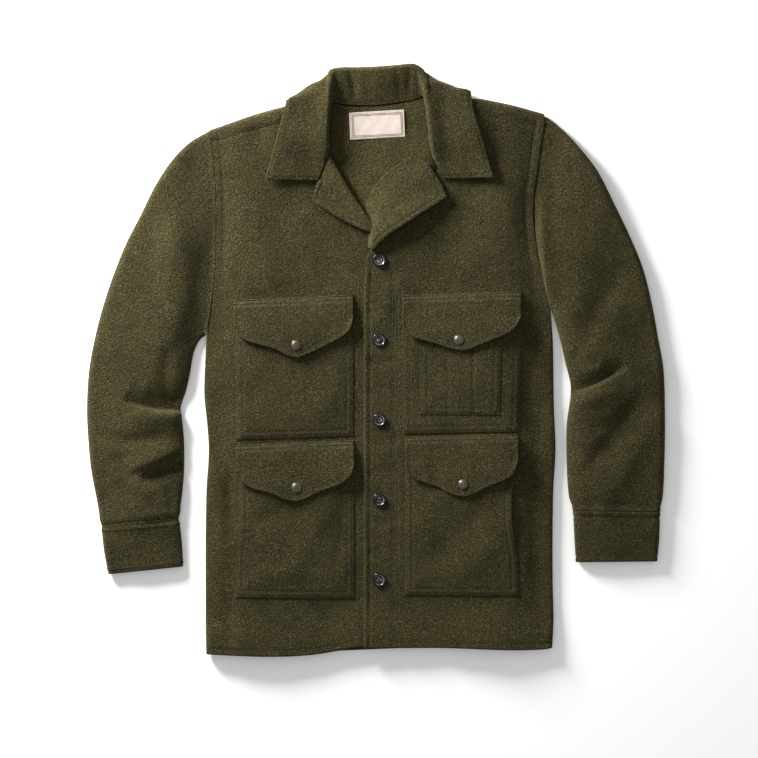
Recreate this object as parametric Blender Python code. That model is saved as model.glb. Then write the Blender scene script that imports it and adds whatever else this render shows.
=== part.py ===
"""A wool mackinaw jacket laid out flat on its back, with its sleeves beside it.

The origin is under the middle of the jacket, on the surface that it lies on. +X is to the wearer's
left, +Y is towards the collar and +Z is up. Sizes below are in millimetres.
"""

import math

import bpy
import numpy as np

MM = 0.001

# Thicknesses of the cloth pieces, and the clearances between them
CLOTH = 2.6
COLLAR_CLOTH = 3.2
LAPEL_CLOTH = 2.6
POCKET_CLOTH = 2.0
LABEL_CLOTH = 1.0
SEAM_GAP = 0.3
LAY_GAP = 0.6
COLLAR_GAP = 1.4
ARMHOLE_GAP = 0.8

# Heights of the layers
FLAT_GAP = 1.3
SIDE_RISE = 5.5
SHOULDER_RISE = 2.0
COLLAR_LIFT = 4.8
SIDE_ROLL = 8.0
SLEEVE_ROLL = 9.0
LAPEL_PUFF = 1.9
LAPEL_PUFF_REACH = 22.0
SLEEVE_CREST = 8.0
CUFF_CREST = 3.6
CREST_LEAN = 1.4
CREST_START = 0.25
CREST_END = 0.75
CREST_LOSS = 0.55
INNER_DELAY = 1.35
OVERLAP_EDGE = 28.0
OVERLAP_RAMP = 70.0
FLAP_LIFT = 2.2
FLAP_STEP = 12.0
FLAP_FREE = 30.0
PENCIL_TOP_DEPTH = 34.0

# Where the rises start, and how far they take
SIDE_RISE_FROM = 30.0
SIDE_RISE_OVER = 150.0
SHOULDER_RISE_FROM = 200.0
SHOULDER_RISE_OVER = 100.0
COLLAR_LIFT_FROM = 270.0
COLLAR_LIFT_OVER = 45.0
COLLAR_LIFT_HALF_WIDTH = 175.0
COLLAR_LIFT_FADE = 40.0
NECK_CENTRE_X = 4.0
NECK_HALF_WIDTH = 72.0
NECK_FADE = 18.0

# Rows and cells of the grids
FRONT_ROWS = 24
FRONT_CELLS = 9
FRONT_ROLL_CELLS = 4
BACK_ROWS = 21
BACK_ROLL_CELLS = 3
BACK_TURN_ROWS = 6
SLEEVE_ROWS = 18
SLEEVE_CELLS = 5
SLEEVE_ROLL_CELLS = 3
CUFF_ROWS = 3
COLLAR_TURN_CELLS = 4
LAPEL_ROWS = 13
LAPEL_ROLL_COLUMNS = (0.0, 0.03, 0.1, 0.22)
LAPEL_CELLS = 5
LAPEL_FOOT = 0.04

# Trims
BUTTON_DIAMETER = 19.0
BUTTON_HEIGHT = 3.6
BUTTON_X = 4.5
BUTTON_TOP_Y = 139.5
BUTTON_SPACING = 112.0
BUTTON_COUNT = 5
SNAP_DIAMETER = 14.0
SNAP_HEIGHT = 2.8

WOOL = (0.062, 0.052, 0.024)
WOOL_INSIDE = (0.054, 0.047, 0.022)
HORN = (0.010, 0.010, 0.012)
ANTIQUE_BRASS = (0.19, 0.16, 0.11)
LABEL_WHITE = (0.72, 0.66, 0.58)

# Edges of the body, from the hem upwards, with columns x, y
SIDE_RIGHT = [(-238, -413), (-239, -365), (-239, -302), (-239, -239), (-238, -183), (-235, -134),
              (-237, -92), (-241, -50), (-240, -8), (-238, 36)]
SIDE_LEFT = [(247, -404), (249, -365), (248, -302), (248, -239), (249, -183), (252, -127),
             (250, -71), (249, -8), (248, 34), (245, 72)]
ARMHOLE_RIGHT = [(-238, 36), (-233, 64), (-228, 100), (-225, 130), (-224, 176), (-224, 221),
                 (-226, 264), (-229.3, 300), (-231.3, 318)]
ARMHOLE_LEFT = [(245, 72), (237, 100), (230, 130), (222, 176), (220, 221), (225, 264),
                (232, 312), (236, 334)]
HEM_RIGHT = [(-238, -413), (-154, -416), (-94, -414), (-48, -407), (-21, -402), (28, -402)]
HEM_LEFT = [(-17, -404), (22, -404), (99, -404), (190, -407), (235, -406), (247, -404)]
CENTRE_RIGHT = [(28, -402), (28, -150), (28, 83), (25, 137), (10, 163), (0, 180), (-30, 225),
                (-52, 257), (-66, 272), (-79, 287), (-82, 320), (-88, 354)]
CENTRE_LEFT = [(-17, -404), (-17, -150), (-17, 78), (-15, 122), (-12, 146), (6, 170), (26, 192),
               (50, 219), (72, 243), (88, 272), (91, 310), (94, 367)]
SHOULDER_SEAM_RIGHT = [(-231.2, 314), (-88, 354)]
SHOULDER_SEAM_LEFT = [(236, 333), (94, 367)]
SHOULDER_EDGE = [(-231.5, 322), (-200, 333), (-169, 343.5), (-128, 354.5), (-110, 359), (-90, 362),
                 (-72, 359), (-58, 354.5), (-29, 350.5), (3, 351.5), (34, 355), (60, 362.5),
                 (76, 370), (94, 375.5), (112, 371.5), (132, 366), (150, 364.5), (190, 356.5),
                 (236, 344)]

# Outlines of the sleeves, from the armhole to the cuff, with columns x, y
SLEEVES = {
    "right": dict(
        outer=[(-234.5, 320), (-260, 305), (-286, 279), (-309, 244), (-330, 202), (-350, 163),
               (-368, 118), (-382, 76), (-393, 34), (-402, -15), (-405, -71), (-403, -113),
               (-399, -155), (-391, -197), (-385, -232)],
        inner=[(-239, 35), (-248, 26), (-256, 8), (-260, -16), (-266, -43), (-274, -68),
               (-272, -79), (-269, -113), (-269, -155), (-271, -183), (-276, -222)],
        cuff_outer=[(-385, -232.6), (-381, -268), (-375, -301)],
        cuff_inner=[(-276, -222.6), (-272, -256), (-270, -290)]),
    "left": dict(
        outer=[(238.5, 341), (258, 325), (286, 296), (311, 263), (335, 216), (357, 170),
               (374, 128), (386, 81), (396, 27), (403, -15), (405, -85), (404, -148),
               (402, -190), (398, -214)],
        inner=[(246, 71), (257, 33), (265, -3), (273, -40), (267, -92), (267, -141),
               (270, -190), (276, -212)],
        cuff_outer=[(398, -214.5), (397, -250), (394, -283)],
        cuff_inner=[(276, -212.5), (278, -250), (280, -284)]),
}

# Main folds: a ridge (+) or trough (-) along a line, with columns x1, y1, x2, y2, width, height
FOLDS = [
    (-335, -66, -272, -72, 11, -4.0),
    (-335, -92, -266, -88, 15, 3.0),
    (-305, -157, -268, -149, 15, -4.0),
    (-382, -104, -314, -112, 14, -2.5),
    (-330, 150, -300, 60, 26, -2.5),
    (336, 121, 290, 14, 20, -4.5),
    (286, -26, 336, -42, 13, -4.0),
    (360, -62, 291, -161, 22, -4.0),
    (290, 250, 330, 160, 30, 2.0),
    (-215, 240, -212, 60, 26, -2.5),
    (206, 270, 210, 110, 26, -2.0),
    (-120, 215, -170, 180, 34, -1.8),
    (100, 190, 175, 205, 34, -1.6),
    (-216, -60, -216, -360, 26, 1.8),
    (226, -60, 226, -360, 26, 1.8),
]

# Collar from its right end, round the back of the neck, to its left end, with columns: opening of
# its fold in degrees, seam, middle of the fold's turn, the turn's radius and tilt in degrees, and
# four points down the fall. The third number of a point is its place between the lower layer (0)
# and the upper one (1). The turn's third number is its height above the upper layer's middle.
COLLAR = [
    (0, (-79, 250.5, 1), (-85, 250.5, 1.7), 2.6, -90,
     [(-103, 250.5, 1), (-122, 251, 1), (-140, 251, 1), (-155, 251, 1)]),
    (0, (-74, 264, 1), (-80, 264, 1.8), 2.8, -90,
     [(-99, 264, 1), (-118, 264, 1), (-136, 264, 1), (-152, 264, 1)]),
    (50, (-69, 276, 1), (-75.2, 276, 2.0), 3.0, -90,
     [(-95, 276, 1), (-114, 276, 1), (-132, 276, 1), (-148.5, 276, 1)]),
    (120, (-69, 286, 1), (-72, 287, 2.8), 3.1, -90,
     [(-93, 286, 1), (-111, 286, 1), (-129, 286, 1), (-145.5, 286, 1)]),
    (180, (-73, 298, 1), (-70.5, 298, 3.4), 3.3, -90,
     [(-91, 298, 1), (-109, 298, 1), (-126, 298, 1), (-142.3, 298, 1)]),
    (180, (-73, 312, 1), (-70.5, 312, 3.4), 3.3, -88,
     [(-90, 312, 1), (-107, 312, 1), (-124, 312, 1), (-138.5, 312, 1)]),
    (180, (-73, 330, 1), (-70, 330, 3.6), 3.4, -82,
     [(-88, 331, 1), (-104, 331, 1), (-120, 331, 1), (-133.5, 330, 1)]),
    (180, (-72, 346, 1), (-69, 347, 3.8), 3.6, -72,
     [(-86, 349, 1), (-102, 349, 1), (-117, 348, 1), (-129.5, 345, 1)]),
    (180, (-70, 357, 0.8), (-67.5, 362, 4.0), 3.8, -55,
     [(-85, 365, 1), (-101, 366.5, 1), (-115, 365.5, 0.98), (-126, 359.5, 0.85)]),
    (180, (-68.5, 359, 0.65), (-67, 367, 4.1), 3.9, -46,
     [(-85, 369, 1), (-102, 370, 0.95), (-116, 367, 0.72), (-126, 361.5, 0.48)]),
    (180, (-66.5, 359.5, 0.5), (-66.5, 372, 4.2), 4.0, -37,
     [(-85, 373.5, 1), (-104, 372.5, 0.8), (-117, 367, 0.3), (-125.5, 358.5, 0.03)]),
    (180, (-64, 360, 0.4), (-66, 379, 4.0), 4.2, -24,
     [(-84, 379, 0.97), (-103, 375.5, 0.55), (-114, 365, 0.02), (-122, 343, 0)]),
    (180, (-60, 360, 0.2), (-64, 389, 2.0), 4.6, 5,
     [(-78, 387, 0.85), (-90, 384.5, 0.45), (-99, 370, 0.02), (-114, 338, 0)]),
    (180, (-56, 359.5, 0.1), (-60.5, 400.5, -0.5), 5.0, 45,
     [(-68, 396, 0.35), (-73, 387, 0.12), (-80, 371, 0), (-98, 334, 0)]),
    (180, (-46, 358, 0.1), (-48, 403.3, -0.5), 5.2, 80,
     [(-52, 390, 0.1), (-55, 379, 0.02), (-60, 362, 0), (-76, 330, 0)]),
    (180, (-25, 356.8, 0.1), (-24, 403, -0.5), 5.2, 90,
     [(-26, 390, 0.1), (-28, 378, 0.02), (-31, 358, 0), (-38, 328, 0)]),
    (180, (2, 357.2, 0.1), (2, 403.6, -0.5), 5.2, 90,
     [(2, 390, 0.1), (2, 379, 0.02), (2, 358, 0), (2, 328, 0)]),
    (180, (28, 360.4, 0.1), (28, 406, -0.5), 5.2, 90,
     [(30, 392, 0.1), (33, 381, 0.02), (36, 360, 0), (43, 330, 0)]),
    (180, (50, 364, 0.1), (50, 408, -0.5), 5.2, 80,
     [(55, 395, 0.1), (58, 384, 0.02), (64, 367, 0), (82, 333, 0)]),
    (180, (59, 366.5, 0.1), (61.5, 402, -0.5), 5.0, 45,
     [(71, 399, 0.35), (77, 391, 0.12), (85, 375, 0), (103, 338, 0)]),
    (180, (64, 369, 0.2), (67, 391, 2.0), 4.8, 5,
     [(81, 391, 0.85), (93, 386, 0.45), (102, 372, 0.02), (120, 343, 0)]),
    (180, (69, 368.5, 0.4), (69.5, 385, 4.4), 4.6, -24,
     [(88, 386, 0.97), (108, 381.5, 0.55), (119, 372, 0.02), (129, 351, 0)]),
    (180, (71, 368, 0.5), (70.5, 379, 4.6), 4.5, -37,
     [(91, 382, 1), (109, 380, 0.8), (123, 377, 0.3), (132.7, 371.5, 0.03)]),
    (180, (73, 366.5, 0.65), (71.5, 374, 4.6), 4.5, -46,
     [(91, 377.5, 1), (108, 378.5, 0.95), (122, 377.5, 0.72), (133.2, 374.8, 0.48)]),
    (180, (74, 364, 0.8), (72, 369, 4.6), 4.4, -55,
     [(92, 373, 1), (108, 375, 1), (122, 376.5, 0.98), (133, 372.5, 0.85)]),
    (180, (78, 350, 1), (75, 352, 4.6), 4.4, -72,
     [(93, 355, 1), (109, 355, 1), (124, 354, 1), (136, 352, 1)]),
    (180, (81, 334, 1), (77, 334, 4.4), 4.2, -82,
     [(95, 335, 1), (112, 335, 1), (127, 334.5, 1), (141, 334, 1)]),
    (180, (83, 315, 1), (79, 315, 4.2), 4.0, -88,
     [(97, 315, 1), (115, 315, 1), (132, 315, 1), (147, 315, 1)]),
    (180, (84.5, 300, 1), (80.5, 300, 3.8), 3.6, -90,
     [(100, 300, 1), (118, 300, 1), (136, 300, 1), (151.5, 300, 1)]),
    (120, (80, 288, 1), (83.5, 288, 2.9), 3.2, -90,
     [(103, 288, 1), (121, 288, 1), (139, 288, 1), (155, 288, 1)]),
    (50, (80, 277, 1), (87.5, 277, 2.0), 3.0, -90,
     [(106, 277, 1), (124, 277, 1), (142, 277, 1), (158.3, 277, 1)]),
    (0, (84, 266, 1), (91, 266, 1.8), 2.8, -90,
     [(110, 266, 1), (128, 266, 1), (146, 266, 1), (161.5, 266, 1)]),
    (0, (89, 253.5, 1), (96, 253.5, 1.7), 2.6, -90,
     [(114, 253.5, 1), (132, 253.5, 1), (149, 254, 1), (165, 254, 1)]),
]

# Lapels: the roll edge from the bottom up, the lower edge, the edge above the corner, and the
# radius and depth of the roll at its lower and upper ends
LAPELS = {
    "right": dict(
        roll=[(1, 181), (-29, 225), (-51, 261), (-64.5, 284)],
        lower=[(0, 175), (-38, 190.5), (-71, 209.5), (-90, 223)],
        upper=[(-90, 223), (-84, 243), (-80, 249)],
        radius=(2.7, 4.0),
        drop=(2.4, 3.0)),
    "left": dict(
        roll=[(-11, 150), (2, 176), (24, 208), (47, 237), (67, 262), (74, 274)],
        lower=[(-10, 147.5), (15, 173), (43, 191), (72, 210), (99, 227)],
        upper=[(99, 227), (91, 246), (87.5, 251.5)],
        radius=(2.7, 11.0),
        drop=(2.4, 7.5)),
}

# Patch pockets, with columns: side edges left and right at top and bottom, top and bottom
POCKETS = {
    "pocket_chest_right": dict(left=(-196, -195), right=(-32, -32), top=(69, 77),
                               bottom=(-112, -107)),
    "pocket_chest_left": dict(left=(37, 38), right=(203, 200), top=(76, 81), bottom=(-104, -101)),
    "pocket_lower_right": dict(left=(-193, -197), right=(-31, -31), top=(-134, -127),
                               bottom=(-335, -335)),
    "pocket_lower_left": dict(left=(41, 41), right=(196, 200), top=(-122, -119),
                              bottom=(-330, -331)),
}
PENCIL_POCKET = dict(left=(62, 62), right=(176, 173), top=(40, 40), bottom=(-77, -78))

# Pocket flaps, from the wearer's right to left, with columns x, top y, bottom y
FLAPS = {
    "flap_chest_right": [(-199, 83, 50), (-192, 83.4, 34), (-178, 84, 25), (-160, 84.8, 20),
                         (-142, 85.6, 15), (-126, 86.4, 6.5), (-112, 87, 2.6), (-98, 87.6, 6),
                         (-84, 88.3, 13), (-66, 89.2, 22), (-49, 90, 31), (-37, 90.6, 42),
                         (-32, 91, 58)],
    "flap_chest_left": [(37, 90, 50), (43, 90.2, 36), (52, 90.5, 31), (68, 91, 26.5),
                        (86, 91.6, 21), (102, 92.2, 15.6), (116, 92.8, 13.4), (130, 93.2, 14.2),
                        (144, 93.7, 20), (160, 94.2, 26.4), (178, 94.6, 33.4), (194, 95, 44),
                        (203, 95, 60)],
    "flap_lower_right": [(-196, -120, -150), (-191, -119.6, -168), (-178, -119, -178),
                         (-160, -118, -184), (-142, -117.2, -189), (-128, -116.4, -196),
                         (-114, -115.8, -198.4), (-100, -115.2, -195.4), (-84, -114.6, -187),
                         (-66, -114, -180.4), (-49, -113.4, -174), (-36, -113, -163),
                         (-31, -113, -148)],
    "flap_lower_left": [(41, -108, -150), (46, -107.8, -161), (55, -107.4, -168),
                        (70, -107, -173.4), (86, -106.6, -178), (100, -106.2, -186),
                        (112, -105.8, -190), (124, -105.5, -191.4), (138, -105.3, -187.6),
                        (154, -105, -179), (172, -104.7, -172), (190, -104.5, -162),
                        (199, -104.4, -140)],
}
SNAPS = {
    "snap_chest_right": (-112, 20.5),
    "snap_chest_left": (115.5, 27.7),
    "snap_lower_right": (-111.5, -178.5),
    "snap_lower_left": (121.4, -174.3),
}
NECK_MIDDLE = (2.0, 335.0)

# Places across the shoulders where the back has a column
BACK_COLUMNS = (-200, -164, -130, -106, -90, -76, -60, -36, -12, 12, 38, 62, 80, 96, 112, 138, 170,
                206)
LABEL = [(-37.5, 345.5), (39.5, 350), (41, 312), (-36, 307.5)]


def rise(value):
    """Smooth step from 0 to 1."""
    value = np.clip(value, 0.0, 1.0)
    return value * value * (3.0 - 2.0 * value)


def quarter(value):
    """Height of a quarter circle, 0 at its rim and 1 from one radius inwards."""
    value = np.clip(value, 0.0, 1.0)
    return np.sqrt(1.0 - (1.0 - value) ** 2)


def smooth_line(points, steps=8):
    """Smooth line through the points."""
    p = np.array(points, float)
    before = np.vstack([2 * p[0] - p[1], p[:-1]])
    after = np.vstack([p[2:], 2 * p[-1] - p[-2]])
    line = [p[0]]
    for i in range(len(p) - 1):
        a, b, c, d = before[i], p[i], p[i + 1], after[i]
        span = np.linalg.norm(c - b)
        m1 = span * (c - a) / (np.linalg.norm(c - b) + np.linalg.norm(b - a))
        m2 = span * (d - b) / (np.linalg.norm(c - b) + np.linalg.norm(d - c))
        for k in range(1, steps + 1):
            t = k / steps
            line.append((2 * t**3 - 3 * t**2 + 1) * b + (t**3 - 2 * t**2 + t) * m1
                        + (3 * t**2 - 2 * t**3) * c + (t**3 - t**2) * m2)
    return np.array(line)


def along(line, fractions):
    """Points at the given fractions of a line's length."""
    reach = np.concatenate([[0.0], np.cumsum(np.linalg.norm(np.diff(line, axis=0), axis=1))])
    wanted = np.asarray(fractions) * reach[-1]
    return np.stack([np.interp(wanted, reach, line[:, k]) for k in range(line.shape[1])], axis=-1)


def shifted(points, distance):
    """The line moved sideways in plan, to the left of its direction."""
    p = np.array(points, float)
    direction = np.gradient(p, axis=0)
    direction /= np.linalg.norm(direction, axis=1)[:, None]
    return p + distance * np.stack([-direction[:, 1], direction[:, 0]], axis=1)


def distance_to(line, x, y):
    """Distance in plan from each point to a line."""
    nearest = np.full(np.shape(x), 1e9)
    for a, b in zip(line[:-1], line[1:]):
        step = b - a
        part = ((x - a[0]) * step[0] + (y - a[1]) * step[1]) / max(step @ step, 1e-9)
        part = np.clip(part, 0.0, 1.0)
        away = np.hypot(x - a[0] - part * step[0], y - a[1] - part * step[1])
        nearest = np.minimum(nearest, away)
    return nearest


def lean(line, fraction, direction):
    """How much further a line's border is crossed along a slanting direction, up to 3 times."""
    before, after = along(line, [max(fraction - 0.01, 0), min(fraction + 0.01, 1)])
    border = (after - before) / np.linalg.norm(after - before)
    across = direction / np.linalg.norm(direction)
    return min(3.0, 1 / max(abs(border[0] * across[1] - border[1] * across[0]), 1e-3))


def patch(bottom, top, left, right, across, upward, right_delay=1.0):
    """Plan grid between four lines. across(width, leans) gives the fractions from left to right."""
    ends = [bottom[0], bottom[-1], top[0], top[-1]]
    rows = []
    for v in upward:
        side_a = along(left, [v])
        side_b = along(right, [v ** right_delay])
        chord = (side_b - side_a)[0]
        leans = (lean(left, v, chord), lean(right, v ** right_delay, chord))
        u = np.asarray(across(float(np.linalg.norm(chord)), leans))[:, None]
        row = (1 - v) * along(bottom, u[:, 0]) + v * along(top, u[:, 0])
        row = row + (1 - u) * side_a + u * side_b
        row = row - (1 - u) * (1 - v) * ends[0] - u * (1 - v) * ends[1]
        row = row - (1 - u) * v * ends[2] - u * v * ends[3]
        rows.append(row)
    return np.array(rows)


def fold_height(x, y):
    """Sum of the folds at a point in plan."""
    total = np.zeros(np.shape(x))
    for x1, y1, x2, y2, width, height in FOLDS:
        line = np.array([(x1, y1), (x2, y2)], float)
        total = total + height * np.exp(-(distance_to(line, x, y) / width) ** 2)
    return total


def back_level(x, y):
    """Middle of the back's wall, raised over the fall of the collar that it lies on."""
    lift = COLLAR_LIFT * rise((y - COLLAR_LIFT_FROM) / COLLAR_LIFT_OVER)
    return CLOTH / 2 + lift * rise((COLLAR_LIFT_HALF_WIDTH - np.abs(x)) / COLLAR_LIFT_FADE)


def front_level(x, y):
    """Middle of the upper layer's wall, away from its edges."""
    level = back_level(x, y) + CLOTH + FLAT_GAP
    level = level + SIDE_RISE * rise((np.abs(x) - SIDE_RISE_FROM) / SIDE_RISE_OVER)
    level = level + SHOULDER_RISE * rise((y - SHOULDER_RISE_FROM) / SHOULDER_RISE_OVER)
    return level + fold_height(x, y)


def front_left_level(x, y):
    """The left front lies on the right one at the middle of the jacket."""
    near_edge = rise((OVERLAP_EDGE + OVERLAP_RAMP - x) / OVERLAP_RAMP)
    return front_level(x, y) + (CLOTH + LAY_GAP) * near_edge


def front_of(side):
    """Height function of one front."""
    return front_left_level if side == "left" else front_level


def material(name, colour, roughness, metallic=0.0):
    """Plain Principled material."""
    made = bpy.data.materials.new(name)
    made.use_nodes = True
    shader = made.node_tree.nodes["Principled BSDF"]
    shader.inputs["Base Color"].default_value = (*colour, 1.0)
    shader.inputs["Roughness"].default_value = roughness
    shader.inputs["Metallic"].default_value = metallic
    return made


def add_object(name, points, faces, finish):
    """Closed solid from points in millimetres."""
    mesh = bpy.data.meshes.new(name)
    mesh.from_pydata([tuple(p) for p in np.asarray(points) * MM], [], faces)
    mesh.validate()
    mesh.update()
    made = bpy.data.objects.new(name, mesh)
    bpy.context.scene.collection.objects.link(made)
    made.data.materials.append(material(name + "_material", *finish))
    mesh.shade_smooth()
    mesh.set_sharp_from_angle(angle=math.radians(50))
    return made


def signed_volume(points, faces):
    """Six times the volume of a closed mesh, positive when its faces point out."""
    total = 0.0
    for face in faces:
        for k in range(1, len(face) - 1):
            total += np.dot(points[face[0]], np.cross(points[face[k]], points[face[k + 1]]))
    return total


def add_wall(name, grid, thickness, finish, ring=False, squared=True):
    """Solid wall on both sides of a grid of middle points. A ring closes across its columns."""
    if ring:
        padded = np.concatenate([grid[:, -1:], grid, grid[:, :1]], axis=1)
        across = np.gradient(padded, axis=1)[:, 1:-1]
    else:
        across = np.gradient(grid, axis=1)
    normal = np.cross(across, np.gradient(grid, axis=0))
    normal /= np.linalg.norm(normal, axis=2)[:, :, None]
    if squared:
        normal = square_edges(normal, grid, ring)
    rows, columns = grid.shape[:2]
    points = np.concatenate([(grid + normal * thickness / 2).reshape(-1, 3),
                             (grid - normal * thickness / 2).reshape(-1, 3)])
    under = rows * columns
    cells = columns if ring else columns - 1
    faces = []
    for i in range(rows - 1):
        for j in range(cells):
            k = (j + 1) % columns
            a, b = i * columns + j, i * columns + k
            c, d = a + columns, b + columns
            faces.append((a, b, d, c))
            faces.append((under + c, under + d, under + b, under + a))
    for j in range(cells):
        k = (j + 1) % columns
        faces.append((under + j, under + k, k, j))
        last = (rows - 1) * columns
        faces.append((last + j, last + k, under + last + k, under + last + j))
    if not ring:
        for i in range(rows - 1):
            a, c = i * columns, (i + 1) * columns
            b, d = a + columns - 1, c + columns - 1
            faces.append((a, c, under + c, under + a))
            faces.append((under + b, under + d, d, b))
    if signed_volume(points, faces) < 0:
        faces = [tuple(reversed(face)) for face in faces]
    return add_object(name, points, faces, finish)


def roll_steps(radius, count):
    """Distances from a rolled edge, close together at its rim."""
    return [radius * (1 - math.cos(math.pi / 2 * k / count)) for k in range(count + 1)]


def square_edges(normal, grid, ring):
    """Make the cut edges of a wall upright, and its rolled edges level."""
    borders = [(np.s_[0, :], np.gradient(grid[0], axis=0)),
               (np.s_[-1, :], np.gradient(grid[-1], axis=0))]
    if not ring:
        borders += [(np.s_[:, 0], np.gradient(grid[:, 0], axis=0)),
                    (np.s_[:, -1], np.gradient(grid[:, -1], axis=0))]
    for place, tangent in borders:
        side = np.stack([-tangent[:, 1], tangent[:, 0], np.zeros(len(tangent))], axis=1)
        length = np.linalg.norm(side, axis=1)
        side /= np.maximum(length, 1e-9)[:, None]
        here = normal[place]
        part = np.sum(here * side, axis=1)
        steep = np.abs(part) > 0.8
        cut = here - part[:, None] * side
        cut /= np.maximum(np.linalg.norm(cut, axis=1), 1e-9)[:, None]
        level = side * np.sign(part)[:, None]
        steady = length > 0.3 * np.linalg.norm(tangent, axis=1)
        chosen = np.where(steep[:, None], level, cut)
        normal[place] = np.where(steady[:, None], chosen, here)
    return normal


def side_seam_levels(x, y, seam, radius):
    """Heights of the upper and lower walls, rolled together along a side seam."""
    top = front_level(x, y)
    floor = back_level(x, y)
    meet = (top + floor) / 2
    turn = quarter(distance_to(seam, x, y) / radius)
    upper = meet + SEAM_GAP + (top - meet - SEAM_GAP) * turn
    lower = meet - SEAM_GAP - (meet - floor - SEAM_GAP) * turn
    return upper, lower, turn


def two_edge_columns(width, radius, turns, cells, leans=(1.0, 1.0)):
    """Columns between two rolled edges."""
    first = np.array(roll_steps(radius, turns)) * leans[0] / width
    last = np.array(roll_steps(radius, turns)) * leans[1] / width
    middle = np.linspace(first[-1], 1 - last[-1], cells + 1)[1:-1]
    return np.concatenate([first, middle, 1 - last[::-1]])


def body_edge(side_points, armhole_points, inward):
    """One side of the body: the side seam drawn in by half a wall, then the armhole."""
    seam = shifted(side_points, inward * CLOTH / 2)
    armhole = shifted(armhole_points, inward * ARMHOLE_GAP)
    armhole[0] = seam[-1]
    seam_line = smooth_line(seam)
    return np.vstack([seam_line, smooth_line(armhole)[1:]]), seam_line


def front_columns(width, leans):
    """Columns of a front, close together where it rolls down to the side seam."""
    rolled = np.array(roll_steps(SIDE_ROLL, FRONT_ROLL_CELLS)) * leans[0] / width
    return np.concatenate([rolled, np.linspace(rolled[-1], 1, FRONT_CELLS + 1)[1:]])


def add_fronts():
    """The two fronts, from hem to shoulder seam, with the centre edges overlapping."""
    upward = np.linspace(0, 1, FRONT_ROWS)
    for side in ("right", "left"):
        mirror = side == "left"
        edge, seam = body_edge(*((SIDE_LEFT, ARMHOLE_LEFT, 1) if mirror
                                 else (SIDE_RIGHT, ARMHOLE_RIGHT, -1)))
        centre = smooth_line(CENTRE_LEFT if mirror else CENTRE_RIGHT)
        hem = smooth_line((HEM_LEFT[::-1] if mirror else HEM_RIGHT))
        top = smooth_line(SHOULDER_SEAM_LEFT if mirror else SHOULDER_SEAM_RIGHT)
        edge[-1] = top[0]
        hem[0] = edge[0]
        plan = patch(hem, top, edge, centre, front_columns, upward)
        x, y = plan[..., 0], plan[..., 1]
        upper, _, turn = side_seam_levels(x, y, seam, SIDE_ROLL)
        extra = front_of(side)(x, y) - front_level(x, y)
        height = upper + extra
        add_wall("front_" + side, np.dstack([x, y, height]), CLOTH, (WOOL, 0.95))


def add_back():
    """The back, turned up along the side seams and over the shoulders to the shoulder seams."""
    right_edge, right_seam = body_edge(SIDE_RIGHT, ARMHOLE_RIGHT, -1)
    left_edge, left_seam = body_edge(SIDE_LEFT, ARMHOLE_LEFT, 1)
    hem = smooth_line([right_edge[0], (-154, -414), (-48, -408), (99, -403), (190, -405),
                       left_edge[0]])
    top_line = smooth_line(SHOULDER_EDGE)
    reach = np.concatenate([[0], np.cumsum(np.linalg.norm(np.diff(top_line, axis=0), axis=1))])
    middle = np.interp(BACK_COLUMNS, top_line[:, 0], reach) / reach[-1]
    rolled = np.array(roll_steps(SIDE_ROLL, BACK_ROLL_CELLS)) / reach[-1]
    columns = np.concatenate([rolled, middle, 1 - rolled[::-1]])
    edge_points = along(top_line, columns)
    wrapped = rise((np.abs(edge_points[:, 0] - NECK_CENTRE_X) - NECK_HALF_WIDTH) / NECK_FADE)
    level = back_level(edge_points[:, 0], edge_points[:, 1])
    front = front_level(edge_points[:, 0], edge_points[:, 1] - 10)
    radius = (front - level) / 2
    base = np.stack([edge_points[:, 0], edge_points[:, 1] - wrapped * (radius + CLOTH / 2)], axis=1)
    right_edge[-1], left_edge[-1] = base[0], base[-1]
    plan = patch(hem, base, right_edge, left_edge, lambda width, leans: columns,
                 np.linspace(0, 1, BACK_ROWS))
    x, y = plan[..., 0], plan[..., 1]
    rolled = np.minimum(distance_to(right_seam, x, y), distance_to(left_seam, x, y)) < SIDE_ROLL
    height = np.where(rolled, np.where(x < 0, side_seam_levels(x, y, right_seam, SIDE_ROLL)[1],
                                       side_seam_levels(x, y, left_seam, SIDE_ROLL)[1]),
                      back_level(x, y))
    grid = np.dstack([x, y, height])
    seam_y = np.where(edge_points[:, 0] < 0,
                      np.interp(edge_points[:, 0], *smooth_line(SHOULDER_SEAM_RIGHT).T),
                      np.interp(edge_points[:, 0], *smooth_line(SHOULDER_SEAM_LEFT)[::-1].T))
    rows = []
    for k in range(1, BACK_TURN_ROWS + 1):
        angle = math.pi * k / BACK_TURN_ROWS
        out = wrapped * radius * math.sin(angle) + (1 - wrapped) * 0.5 * k
        up = wrapped * radius * (1 - math.cos(angle))
        rows.append(np.stack([base[:, 0], base[:, 1] + out, level + up], axis=1))
    last = rows[-1]
    seam_stop = seam_y + 2 * SEAM_GAP
    strip_y = last[:, 1] + wrapped * np.minimum(seam_stop - last[:, 1], -1.0) + (1 - wrapped) * 0.5
    seam_z = front_level(last[:, 0], strip_y)
    strip_z = last[:, 2] + wrapped * (seam_z - last[:, 2])
    rows.append(np.stack([last[:, 0], strip_y, strip_z], axis=1))
    add_wall("back", np.concatenate([grid, np.array(rows)]), CLOTH, (WOOL_INSIDE, 0.95))


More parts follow.
